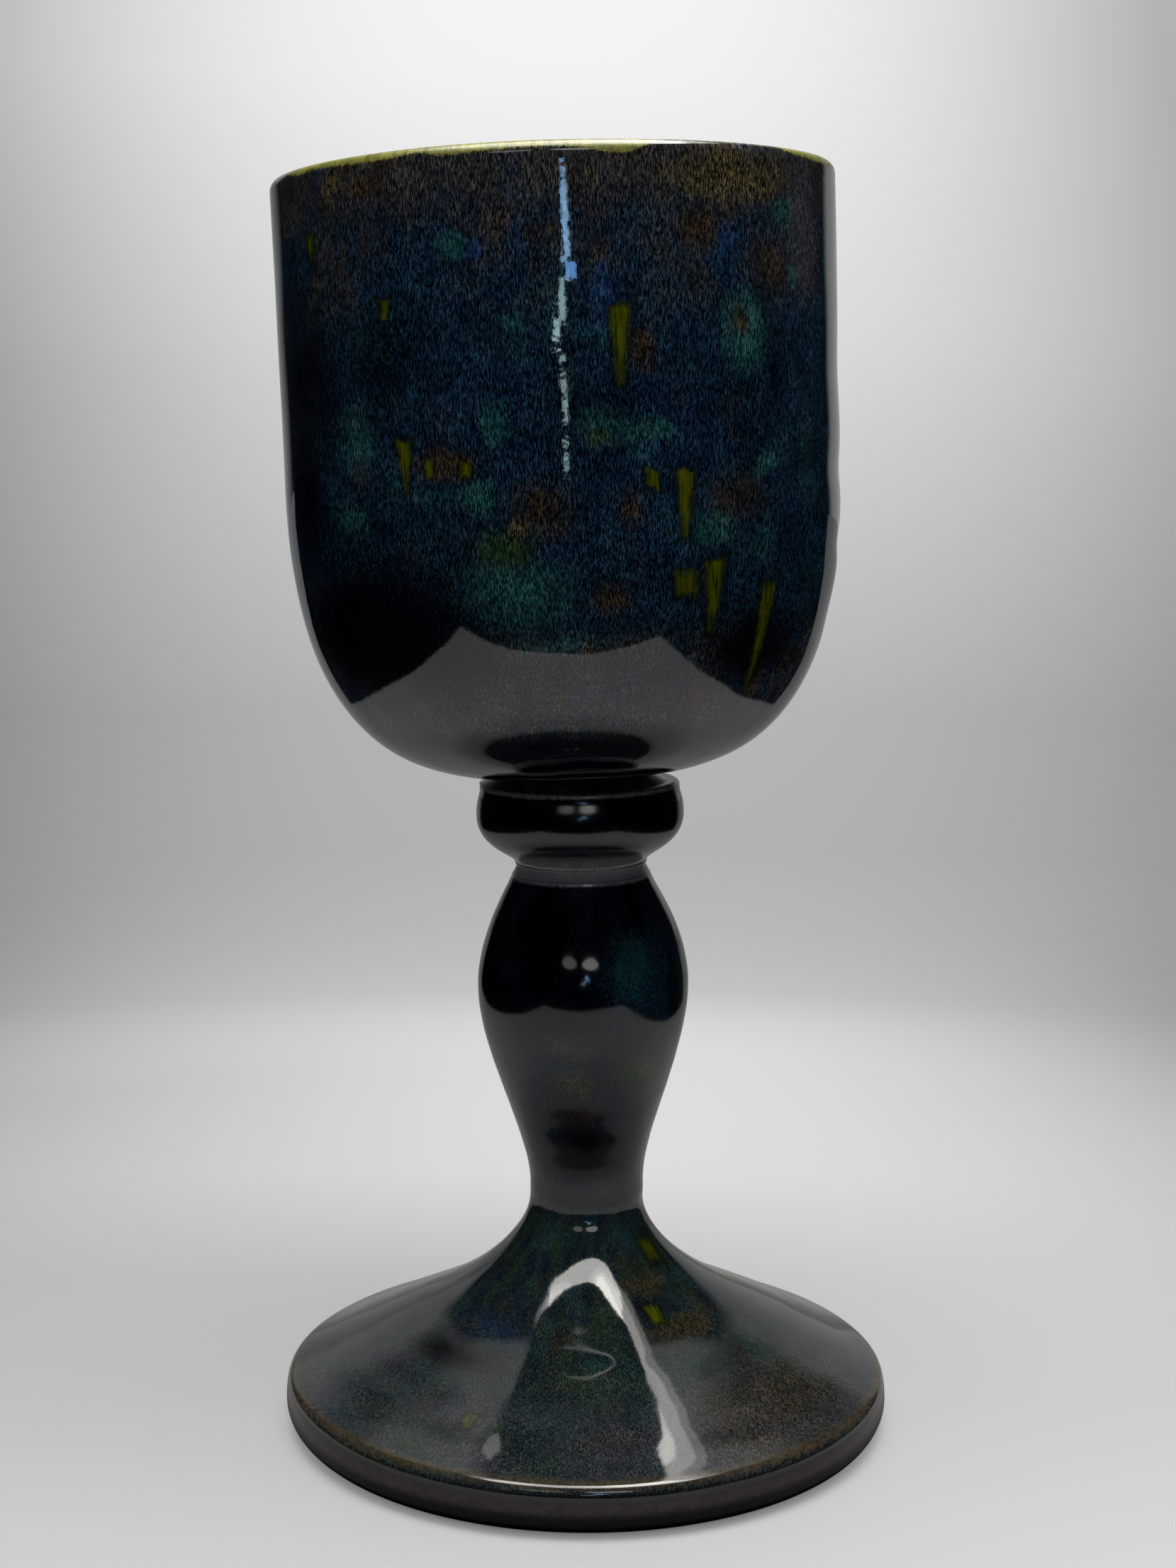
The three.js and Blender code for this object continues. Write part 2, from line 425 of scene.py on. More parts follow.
@dataclass(frozen=True)
class Skin:
    """How the flat pattern of a glaze lies on a turned piece.

    Across, a place is how far it is round the girth. Down, it is its fall: up * height + out * radius.
    """

    seat: Matrix
    outline: np.ndarray  # the glazed side, as radii and heights that go up
    girth: float
    up: float = 1.0
    out: float = 0.0

    def place(self, angle: float, height: float) -> tuple[float, float]:
        """The flat place of a spot, given by its angle and its height on the piece."""
        return math.radians(angle) * self.girth, self.up * height + self.out * self.radius(height)

    def radius(self, height: float) -> float:
        """The piece's radius at a height."""
        return float(np.interp(height, self.outline[:, 1], self.outline[:, 0]))


# Finishes


class Tone(Enum):
    """What the glaze splits into: the ground that shows between the fine hairs, and the hairs."""

    NAVY = ("#00091b", "#315570")
    DUSK = ("#10161f", "#6c675e")
    BLUE = ("#031736", "#40659c")
    TEAL = ("#04252f", "#4f8a8a")
    GREEN = ("#0f281d", "#5c7c48")
    BROWN = ("#0f1113", "#705a3e")
    GOLD = ("#0d1013", "#938458")
    ASH = ("#262a33", "#77757c")
    DEEP = ("#000008", "#0b1019")


@dataclass(frozen=True)
class Drip:
    """A run of glassy olive glaze, broad at its top and narrowing as it runs down."""

    angle: float
    top: float
    bottom: float
    width: float
    slant: float = 0.0  # degrees, positive where it runs down to the left
    taper: float = 0.75


@dataclass(frozen=True)
class BloomAndPaintedPatch:
    """A soft patch of another tone: mostly where that tone comes through, and low on the stem's front a
    painted dark reflection.
    """

    tone: Tone
    angle: float
    height: float
    wide: float
    tall: float
    strength: float = 1.0


@dataclass(frozen=True)
class Field:
    """A tone that comes and goes over a whole part of a piece, between two heights."""

    tone: Tone
    size: float
    share: float  # how much of the part it covers, from 0 to 1
    low: float | None = None
    high: float | None = None
    fade: float = 8.0
    soft: float = 0.12
    strength: float = 1.0
    stretch: float = 1.6  # how much longer its patches are down the pot than across


@dataclass(frozen=True)
class ThinGlazeAndPaintedBand:
    """A band between two heights: mostly where the glaze ran thin off an edge and its paler body shows, and
    in some places painted shade, in others painted light.
    """

    colour: str
    fleck: str
    low: float
    high: float
    fade: float
    ragged: float
    strength: float = 1.0
    widths: tuple = ()  # how much lower it reaches at each angle, where that varies
    dry: float = 0.0  # how much rougher it is


def blooms_and_painted_patches(**spots: tuple) -> tuple[BloomAndPaintedPatch, ...]:
    """Patches by the name of their tone, each as its angle, height, wide, tall and strength."""
    return tuple(BloomAndPaintedPatch(Tone[name], *spot) for name, group in spots.items() for spot in group)


@dataclass(frozen=True)
class Layout:
    """Where the patterns of a glaze are laid out, as nodes, and what adds more of them."""

    add: Adder
    height: Feed  # above the piece's base
    wrap: Feed  # the place on an even cylinder
    flat: Feed  # the place on that cylinder when it is rolled out
    fall: Feed  # how far down the pot it is

    def wandering(self, fine: tuple[float, float, float], reach: tuple) -> Node:
        """Adds the flat place, moved about so that what is drawn there gets wandering edges.

        Args:
            fine: the scale, detail and roughness of the noise that moves it.
            reach: how far it is moved across and down.

        Returns:
            The moved place.
        """
        noise = self.add("TexNoise", Vector=self.wrap, Scale=fine[0], Detail=fine[1], Roughness=fine[2])
        centred = self.add("VectorMath SUBTRACT", noise.outputs["Color"], (0.5, 0.5, 0.5))
        return self.add("VectorMath MULTIPLY_ADD", centred, (*reach, 0), self.flat)


@dataclass(frozen=True)
class ReactiveGlaze:
    """A glossy iron and cobalt glaze that crawled down the pot as it melted.

    It gives the eye a near-black depth with a fine fur of slate, teal and brown hairs in it, soft
    patches of other tones, glassy olive runs, and mirror-sharp reflections on top. Real hairs are
    finer: these are as coarse as they need to be to show.
    """

    name: str
    skin: Skin
    drips: tuple[Drip, ...] = ()
    blooms_and_painted_patches: tuple[BloomAndPaintedPatch, ...] = ()
    fields: tuple[Field, ...] = ()
    thin_and_painted_bands: tuple[ThinGlazeAndPaintedBand, ...] = ()
    fur: float = 1.0
    hair_width: float = 0.15
    hair_length: float = 0.9
    glassy: float = 1.53  # its index of refraction
    polish: float = 0.02  # the roughness between the hairs
    seed: float = 0.0

    def build(self) -> bpy.types.Material:
        """Makes the glaze: a wet gloss, a little frosted where the hairs reach the surface.

        Returns:
            The material.
        """
        material, add = new_material(self.name)
        lay = self.layout(add)
        fur = self.hairs(lay)
        ground, hair = self.tones(lay)
        colour = self.runs(lay, add("Mix RGBA", fur, ground, hair))
        colour, dry = self.lay_thin_and_painted_bands(lay, colour)
        frost = add("MapRange", fur, None, None, self.polish, self.polish + 0.02)
        gloss, normal = add("Math ADD", frost, dry), self.relief(lay, fur)
        shader = add("BsdfPrincipled", Base_Color=colour, Roughness=gloss, IOR=self.glassy, Normal=normal)
        add("OutputMaterial", shader)
        return material

    def layout(self, add: Adder) -> Layout:
        """Adds the coordinates that the rest of the glaze is laid out in.

        Args:
            add: what adds a node.

        Returns:
            The layout.
        """
        seat, girth = self.skin.seat, self.skin.girth
        here = add("TexCoord").outputs["Object"]
        spot = add("Mapping TEXTURE", here, seat.translation * MM, seat.to_euler(), (MM, MM, MM))
        x, y, height = add("SeparateXYZ", spot).outputs[:]
        across = add("CombineXYZ", x, y)
        radius = add("VectorMath LENGTH", across)
        rise = add("Math MULTIPLY", height, self.skin.up)
        fall = add("Math MULTIPLY_ADD", radius, self.skin.out, rise)
        facing = add("VectorMath NORMALIZE", across)
        wrap = add("VectorMath MULTIPLY_ADD", facing, (girth,) * 3, add("CombineXYZ", Z=fall))
        angle = add("Math ARCTAN2", x, add("Math MULTIPLY", y, -1.0))
        flat = add("CombineXYZ", add("Math MULTIPLY", angle, girth), fall)
        return Layout(add, height, wrap, flat, fall)

    def hairs(self, lay: Layout) -> Node:
        """Adds the fur: two families of fine upright hairs that cross at a narrow angle.

        Args:
            lay: the glaze's layout.

        Returns:
            The fur's strength, from 0 to 1.
        """
        add = lay.add
        size = (self.hair_width, self.hair_width, self.hair_length)
        families = []
        for lean, shift in ((4, 0.0), (-6, 37.0)):
            turn = add("Math MULTIPLY", lay.fall, math.tan(math.radians(lean)) / self.skin.girth)
            twisted = add("VectorRotate Z_AXIS", Vector=lay.wrap, Angle=turn)
            combed = add("Mapping TEXTURE", twisted, (shift, 0, 0), None, size)
            noise = add("TexNoise", Vector=combed, Scale=1.0, Detail=1.5, Roughness=0.6)
            families.append(add("MapRange SMOOTHSTEP", noise, 0.5, 0.74))
        thick = add("TexNoise", Vector=lay.wrap, Scale=0.2, Detail=2.0, Roughness=0.6)
        share = add("MapRange", thick, 0.3, 0.7, 0.55 * self.fur, 1.2 * self.fur)
        fur = add("Math MULTIPLY", add("Math MAXIMUM", *families), share)
        fur.use_clamp = True
        return fur

    def tones(self, lay: Layout) -> tuple[Feed, Feed]:
        """Adds the fields and the patches, tone by tone.

        Args:
            lay: the glaze's layout.

        Returns:
            The colour between the hairs and the colour of the hairs.
        """
        add = lay.add
        moved = lay.wandering((0.55, 3.0, 0.65), (3.2, 4.6)) if self.blooms_and_painted_patches else None
        grain = add("TexNoise", Vector=lay.wrap, Scale=2.6, Detail=2.0, Roughness=0.6)
        grain = add("MapRange", grain, 0.3, 0.7, 0.65, 1.2)
        ground, hair = (linear(colour) for colour in Tone.NAVY.value)
        for number, tone in enumerate(Tone):
            amount: Feed = 0.0
            for order, one in enumerate(one for one in self.fields if one.tone is tone):
                reach = self.field(lay, one, self.seed + 17.0 * number + 5.0 * order)
                amount = add("Math MAXIMUM", amount, reach)
            for bloom in (one for one in self.blooms_and_painted_patches if one.tone is tone):
                squeeze = self.skin.girth / self.skin.radius(bloom.height)
                size = (bloom.wide * squeeze * 0.72, bloom.tall * 0.72, 1.0)
                spot = (*self.skin.place(bloom.angle, bloom.height), 0)
                ball = add("TexGradient SPHERICAL", add("Mapping TEXTURE", moved, spot, None, size))
                peak = add("Math MULTIPLY", ball.outputs["Fac"], bloom.strength * 2.0)
                amount = add("Math MAXIMUM", amount, peak)
            if amount == 0.0:
                continue
            amount = add("MapRange SMOOTHSTEP", add("Math MULTIPLY", amount, grain))
            ground = add("Mix RGBA", amount, ground, linear(tone.value[0]))
            hair = add("Mix RGBA", amount, hair, linear(tone.value[1]))
        return ground, hair

    def field(self, lay: Layout, one: Field, shift: float) -> Node:
        """Adds one field.

        Args:
            lay: the glaze's layout.
            one: the field.
            shift: moves its noise, so that no two fields match.

        Returns:
            The field's strength.
        """
        add = lay.add
        size = (one.size, one.size, one.size * one.stretch)
        placed = add("Mapping TEXTURE", lay.wrap, (shift, shift, 0), None, size)
        noise = add("TexNoise", Vector=placed, Scale=1.0, Detail=4.0, Roughness=0.62)
        level = 0.5 + 0.24 * (1.0 - 2.0 * one.share)
        amount = add("MapRange SMOOTHSTEP", noise, level - one.soft, level + one.soft, 0.0, one.strength)
        for edge, inward in ((one.low, one.fade), (one.high, -one.fade)):
            if edge is not None:
                inside = add("MapRange SMOOTHSTEP", lay.height, edge - inward, edge + inward)
                amount = add("Math MULTIPLY", amount, inside)
        return amount

    def runs(self, lay: Layout, colour: Node) -> Node:
        """Lays the olive runs over the colour, each in a dark outline.

        Args:
            lay: the glaze's layout.
            colour: the colour under them.

        Returns:
            The colour with the runs in it.
        """
        if not self.drips:
            return colour
        add = lay.add
        moved = lay.wandering((0.6, 3.5, 0.6), (1.7, 3.4))
        nearest: Feed = -9.0
        for drip in self.drips:
            across, top = self.skin.place(drip.angle, drip.top)
            length = top - self.skin.place(drip.angle, drip.bottom)[1]
            half = drip.width / 2 * self.skin.girth / self.skin.radius(drip.top)
            turned = (0.0, 0.0, -math.radians(drip.slant))
            local = add("Mapping TEXTURE", moved, (across, top, 0), turned, (half, length, 1))
            x, y, _ = add("SeparateXYZ", local).outputs[:]
            width = add("Math MULTIPLY_ADD", y, drip.taper, 1.0)
            within = add("Math SUBTRACT", width, add("Math ABSOLUTE", x))
            apart = add("Math ABSOLUTE", add("Math ADD", y, 0.5))
            ends = add("Math MULTIPLY", add("Math SUBTRACT", 0.5, apart), min(length / half, 6.0))
            nearest = add("Math MAXIMUM", nearest, add("Math MINIMUM", within, ends))
        halo = add("MapRange SMOOTHSTEP", nearest, -0.9, 0.1, 0.0, 0.7)
        core = add("MapRange SMOOTHSTEP", nearest, -0.3, 0.65)
        combed = add("Mapping TEXTURE", lay.wrap, None, None, (0.35, 0.35, 4.0))
        streaks = add("TexNoise", Vector=combed, Scale=1.0, Detail=2.0)
        olive = fill_ramp(add("ValToRGB", streaks), (0.3, "#202500"), (0.72, "#5d6604"))
        return add("Mix RGBA", core, add("Mix RGBA", halo, colour, linear("#020301")), olive)

    def lay_thin_and_painted_bands(self, lay: Layout, colour: Node) -> tuple[Node, Feed]:
        """Lays the bands over the colour: thin glaze, and on some pieces painted shade and painted light.

        Args:
            lay: the glaze's layout.
            colour: the colour under them.

        Returns:
            The colour with the bands in it, and how much rougher they are.
        """
        add = lay.add
        dry: Feed = 0.0
        for one in self.thin_and_painted_bands:
            fine = add("TexNoise", Vector=lay.wrap, Scale=1.6, Detail=4.0, Roughness=0.7)
            torn = add("Math ADD", lay.height, add("MapRange", fine, 0.25, 0.75, -one.ragged, one.ragged))
            if one.widths:
                across = add("SeparateXYZ", lay.flat)
                turn = add("Math MULTIPLY_ADD", across, 1 / (2 * math.pi * self.skin.girth), 0.5)
                stops = [(angle / 360 + 0.5, wide / 4) for angle, wide in one.widths]
                torn = add("Math MULTIPLY_ADD", fill_ramp(add("ValToRGB", turn), *stops), 4.0, torn)
            band = add("MapRange SMOOTHSTEP", torn, one.low - one.fade, one.low + one.fade, 0.0, one.strength)
            lid = add("MapRange SMOOTHSTEP", lay.height, one.high + one.fade, one.high - one.fade)
            band = add("Math MULTIPLY", band, lid)
            mottle = add("TexNoise", Vector=lay.wrap, Scale=1.1, Detail=5.0, Roughness=0.75)
            paint = fill_ramp(add("ValToRGB", mottle), (0.36, one.fleck), (0.6, one.colour))
            colour = add("Mix RGBA", band, colour, paint)
            dry = add("Math MULTIPLY_ADD", band, one.dry, dry)
        return colour, dry

    @staticmethod
    def relief(lay: Layout, fur: Node) -> Feed:
        """Adds the relief: long waves, a slight orange peel, and the hairs.

        Args:
            lay: the glaze's layout.
            fur: the fur's strength.

        Returns:
            The normal.
        """
        wave = lay.add("TexNoise", Vector=lay.wrap, Scale=0.13, Detail=0.0)
        peel = lay.add("TexNoise", Vector=lay.wrap, Scale=0.45, Detail=2.0, Roughness=0.5)
        normal: Feed = None
        for height, microns in ((wave, 70), (peel, 8), (fur, 0.4)):
            normal = lay.add("Bump", Height=height, Strength=1.0, Distance=microns * 1e-6, Normal=normal)
        return normal


@dataclass(frozen=True)
class GlazedSlip:
    """Clay slip that was smoothed into a joint and glazed over.

    It gives the eye a groove: near-black and wet where the glaze pooled, and grey where it ran thin; the two
    paler ones are also painted lighter, as painted light on joints that lie in shade.
    """

    name: str
    thick: str
    thin: str
    roughness: float

    def build(self) -> bpy.types.Material:
        """Makes the material.

        Returns:
            The material.
        """
        material, add = new_material(self.name)
        here = add("TexCoord").outputs["Object"]
        noise = add("TexNoise", Vector=here, Scale=0.26 / MM, Detail=3.0, Roughness=0.6)
        ramp = fill_ramp(add("ValToRGB", noise), (0.4, self.thick), (0.72, self.thin))
        add("OutputMaterial", add("BsdfPrincipled", Base_Color=ramp, Roughness=self.roughness, IOR=1.45))
        return material


@dataclass(frozen=True)
class BareStoneware:
    """Unglazed stoneware, wiped clean where the pot stood in the kiln.

    It gives the eye a dry, warm grey-brown clay with fine dark iron specks and a faint grain.
    """

    name: str = "bare_stoneware"

    def build(self) -> bpy.types.Material:
        """Makes the material.

        Returns:
            The material.
        """
        material, add = new_material(self.name)
        here = add("TexCoord").outputs["Object"]
        toasted = add("TexNoise", Vector=here, Scale=0.07 / MM, Detail=4.0, Roughness=0.6)
        clay = fill_ramp(add("ValToRGB", toasted), (0.32, "#6d5744"), (0.55, "#8a7159"), (0.75, "#a08a70"))
        cells = add("TexVoronoi", Vector=here, Scale=0.7 / MM)
        speck = add("MapRange SMOOTHSTEP", cells, 0.22, 0.12)
        flecked = add("Mix RGBA", speck, clay, linear("#2b211b"))
        grit = add("TexNoise", Vector=here, Scale=2.2 / MM, Detail=3.0)
        normal = add("Bump", Height=grit, Strength=0.6, Distance=0.12 * MM)
        add("OutputMaterial", add("BsdfPrincipled", Base_Color=flecked, Roughness=0.82, Normal=normal))
        return material


# The chalice's pieces

STEM_SEAT = leaning(0.0, 36.8, 1.2)


@dataclass
class Joints:
    """Sizes of the tenons, sockets and bores that the pieces are luted together with."""

    tenon_radius: float = 6.0
    tenon_length: float = 4.0
    clearance: float = 0.3
    bore_radius: float = 4.0
    gap: float = 0.3

    @property
    def socket_radius(self) -> float:
        """The inside of a socket."""
        return self.tenon_radius + self.clearance

    @property
    def socket_depth(self) -> float:
        """How deep a socket is."""
        return self.tenon_length + self.clearance


@dataclass
class Thrown:
    """What the thrown pieces share: each has a seat, an outline, the hand's marks and a glaze."""

    joints: Joints
    node: ClassVar[str]
    seat: ClassVar[Matrix]
    segments: ClassVar[int] = 200
    marks: ClassVar[HandMarks]

    def stretches(self) -> list[Stretch]:
        """The piece's outline."""
        raise NotImplementedError

    def side(self, first: int, last: int) -> np.ndarray:
        """The points of the outline from one stretch up to another, which is left out."""
        return np.concatenate([stretch.points for stretch in self.stretches()[first:last]])

    def build(self, *finishes: bpy.types.Material) -> bpy.types.Object:
        """Makes the piece.

        Args:
            *finishes: its materials, in the order that its outline numbers them.

        Returns:
            The piece's object.
        """
        sizes = (self.seat, self.stretches(), self.segments)
        piece = Turned(f"{self.node}_thrown", self.node, "reactive_glaze", *sizes, finishes, self.marks)
        return piece.build()


@dataclass
class Foot(Thrown):
    """The wide flared foot: a rounded edge, a straight slope, and a sweep up to the waist."""

    height: float = 36.0
    radius: float = 47.0
    widest_height: float = 4.2
    undercut: float = 4.2
    shoulder: tuple = (45.7, 8.26)
    flare: tuple = (26.1, 18.0)
    flare_pulls: tuple = (0.4, 0.4)
    edge_pulls: tuple = (0.85, 0.5)
    ring_width: float = 4.7
    ring_depth: float = 5.5
    ring_taper: float = 1.0
    hollow_height: float = 29.0
    hollow_pulls: tuple = (0.85, 0.45)
    waist_radius: float = 8.8
    node = "foot"
    seat = leaning(0.0, 0.0, 0.0)
    segments = 288
    marks = HandMarks(seed=11, slope=0.013, shortest=12, ring_slope=0.008, ring_pitch=6.4, girth=32)

    def stretches(self) -> list[Stretch]:
        """The outline, from the ring that it stands on up over the outside and down the inside."""
        joints = self.joints
        contact = (self.radius - self.undercut, 0.0)
        widest = (self.radius, self.widest_height)
        top = (self.waist_radius, self.height)
        shoulder, flare = np.array(self.shoulder), np.array(self.flare)
        slope = flare - shoulder
        leave_edge = (self.radius, widest[1] + self.edge_pulls[0] * (shoulder[1] - widest[1]))
        meet_slope = shoulder + slope * self.edge_pulls[1] * (self.radius - shoulder[0]) / slope[0]
        meet_top = (top[0], top[1] - self.flare_pulls[1] * (top[1] - flare[1]))
        ring_inside = contact[0] - self.ring_width
        hollow_edge = (ring_inside - self.ring_taper, self.ring_depth)
        hollow_top = (joints.bore_radius, self.hollow_height)
        leave_top = (hollow_top[0], hollow_top[1] - self.hollow_pulls[1] * (hollow_top[1] - hollow_edge[1]))
        meet_ring = np.array(hollow_edge) + slope * self.hollow_pulls[0]
        floor = self.height - joints.socket_depth
        socket_rim, socket_edge = (joints.socket_radius, self.height), (joints.socket_radius, floor)
        return [
            Stretch(quarter(contact, widest, 12), hand=0.3, rounded_on=True),
            Stretch(curve(widest, leave_edge, meet_slope, self.shoulder, 14), hand=0.5, rounded_on=True),
            Stretch(straight(self.shoulder, self.flare, 30), hand=1.0, rounded_on=True),
            Stretch(curve(self.flare, flare + slope * self.flare_pulls[0], meet_top, top, 40), hand=1.0),
            *facets(1, top, socket_rim, socket_edge, (joints.bore_radius, floor), hollow_top),
            Stretch(curve(hollow_top, leave_top, meet_ring, hollow_edge, 36), finish=1),
            Stretch(straight(hollow_edge, (ring_inside, 0.0), 4), finish=1),
        ]

    def glaze(self) -> ReactiveGlaze:
        """The glaze on the foot, with the marks that the photograph shows on it.

        Returns:
            The finish.
        """
        runs = ((56.4, 30.1, 27.2, 3.0), (31.8, 22.8, 20.9, 2.5), (-26.5, 12.8, 11.6, 2.2))
        patches = blooms_and_painted_patches(
            TEAL=(
                (3.0, 17.6, 4.5, 4.5), (35.2, 10.3, 4.2, 3.4), (27.3, 13.4, 4.0, 3.4),
                (-37.0, 14.0, 16.0, 7.0, 0.7), (-30.0, 31.0, 8.0, 7.0, 0.7), (34.0, 31.0, 6.0, 7.0, 0.6),
            ),
            GOLD=(
                (36.0, 25.0, 8.0, 5.0, 0.7), (42.0, 20.0, 12.0, 6.0, 0.8), (44.0, 11.5, 34.0, 18.0, 0.9),
                (6.0, 11.5, 12.0, 5.0, 0.6),
            ),
            GREEN=((34.0, 9.5, 16.0, 5.0, 0.7), (-36.0, 10.5, 30.0, 10.0, 0.8), (-22.0, 12.0, 8.0, 5.0, 0.7)),
            BLUE=((-42.0, 19.5, 16.0, 9.0, 0.7), (-62.0, 9.0, 14.0, 8.0, 0.8)),
            DEEP=((-44.0, 17.0, 16.0, 8.0, 0.6),),
        )
        fields = (
            Field(Tone.BLUE, 8.0, 0.2, low=18.0, strength=0.5),
            Field(Tone.TEAL, 6.0, 0.5, strength=0.7),
            Field(Tone.BROWN, 60.0, 1.6, strength=0.4),
            Field(Tone.GREEN, 60.0, 1.6, high=22.0, fade=6.0, strength=0.4),
            Field(Tone.BROWN, 7.5, 0.4, strength=0.7),
            Field(Tone.GOLD, 4.5, 0.3, strength=0.5),
            Field(Tone.GREEN, 6.0, 0.45, strength=0.7),
            Field(Tone.ASH, 7.0, 0.7, high=15.5, fade=3.0, soft=0.25, strength=0.6),
        )
        thin_and_painted_bands = (
            # painted shade: the foot's undercut and rounded edge are painted near-black, where its contact
            # shadow falls
            ThinGlazeAndPaintedBand("#070606", "#040404", -9.0, 7.0, 0.6, 0.3, 0.9),
            ThinGlazeAndPaintedBand("#3a302f", "#221d1c", 3.9, 5.6, 0.7, 0.4, 0.85),
            ThinGlazeAndPaintedBand("#63522c", "#2a261c", 7.6, 8.4, 0.25, 0.9, 0.5, dry=0.06),
        )
        drips = tuple(Drip(*run, taper=0.3) for run in runs)
        skin = Skin(self.seat, self.side(0, 4), girth=30.0, up=0.75, out=-1.0)
        return ReactiveGlaze(
            "reactive_glaze_foot", skin, drips, patches, fields, thin_and_painted_bands,
            fur=0.6, hair_width=0.1, hair_length=0.6, glassy=1.45, polish=0.05, seed=3.0,
        )


@dataclass
class Stem(Thrown):
    """The baluster: it swells from the waist to a belly, and ends in a small rounded bead."""

    length: float = 49.5
    waist_radius: float = 8.8
    belly: tuple = (16.4, 32.2)
    belly_bore: float = 8.0
    neck_radius: float = 10.6
    lower_pulls: tuple = (0.26, 0.33)
    upper_pulls: tuple = (0.42, 0.18)
    upper_slope: float = 0.5  # how far it still narrows for each millimetre at its top
    bore_pulls: tuple = (0.4, 0.4)
    bead: tuple = (0.12, 0.2)  # how far the top's edge rounds in, and down
    node = "stem"
    seat = STEM_SEAT
    marks = HandMarks(seed=5, slope=0.012, shortest=9, longest=40, ring_slope=0.012, ring_pitch=4.6, girth=14)

    def stretches(self) -> list[Stretch]:
        """The outline, from the tenon up over the belly and down the bore."""
        joints = self.joints
        waist = (self.waist_radius, joints.gap)
        tenon_end = joints.gap - joints.tenon_length
        floor = self.length - joints.socket_depth
        bead_side = (self.neck_radius, self.length - self.bead[1])
        bead_top = (self.neck_radius - self.bead[0], self.length)
        rise = self.length - self.belly[1]
        drop = self.upper_pulls[1] * rise
        leave = (self.belly[0], self.belly[1] + self.upper_pulls[0] * rise)
        meet = (bead_side[0] + self.upper_slope * drop, bead_side[1] - drop)
        tenon, socket, bore = joints.tenon_radius, joints.socket_radius, joints.bore_radius
        inner_belly = (self.belly_bore, self.belly[1])
        return [
            *facets(1, (tenon, tenon_end), (tenon, joints.gap), waist),
            Stretch(swell(waist, self.belly, self.lower_pulls, 44), hand=1.0, rounded_on=True),
            Stretch(curve(self.belly, leave, meet, bead_side, 26), hand=1.0, rounded_on=True),
            Stretch(quarter(bead_top, bead_side, 8)[::-1]),
            *facets(1, bead_top, (socket, self.length), (socket, floor), (bore, floor)),
            Stretch(swell((bore, floor), inner_belly, self.bore_pulls, 8), finish=1, rounded_on=True),
            Stretch(swell(inner_belly, (bore, joints.gap), self.bore_pulls, 14), finish=1),
            *facets(1, (bore, joints.gap), (bore, tenon_end)),
        ]

    def glaze(self) -> ReactiveGlaze:
        """The glaze on the stem: darker over its upper half, with a few soft patches.

        Returns:
            The finish.
        """
        patches = blooms_and_painted_patches(
            TEAL=((28.0, 38.5, 8.0, 11.0, 0.7), (3.0, 7.0, 7.0, 7.0, 0.5)),
            # painted reflection: this near-black patch low on the front paints the dark oval that the stem
            # mirrors there
            DEEP=((1.0, 8.0, 12.0, 10.0, 0.8),),
            GREEN=((41.0, 20.5, 9.0, 9.0, 0.8), (66.0, 32.0, 4.0, 8.0, 0.6)),
            GOLD=((-6.0, 26.0, 8.0, 5.0, 0.6), (-5.0, 19.5, 6.5, 5.0, 0.6)),
            BROWN=((-9.0, 14.0, 9.0, 5.0, 0.8), (32.0, 27.0, 5.0, 5.0, 0.7)),
        )
        fields = (
            Field(Tone.DEEP, 14.0, 0.5, low=24.0),
            Field(Tone.TEAL, 6.0, 0.3, strength=0.6),
            Field(Tone.BROWN, 6.0, 0.4, high=26.0, strength=0.8),
            Field(Tone.GREEN, 4.0, 0.16, strength=0.5),
        )
        # partly painted highlight: the bead's pale band is thin glaze, painted paler to stand for its blurred
        # highlight
        thin_and_painted_bands = (ThinGlazeAndPaintedBand("#8c8690", "#6a666c", 49.0, 60.0, 0.3, 0.15, 0.85, dry=0.1),)
        skin = Skin(self.seat, self.side(2, 5), girth=14.0)
        return ReactiveGlaze(
            "reactive_glaze_stem", skin, (), patches, fields, thin_and_painted_bands,
            fur=0.5, hair_width=0.08, hair_length=0.5, glassy=1.43, polish=0.09, seed=29.0,
        )


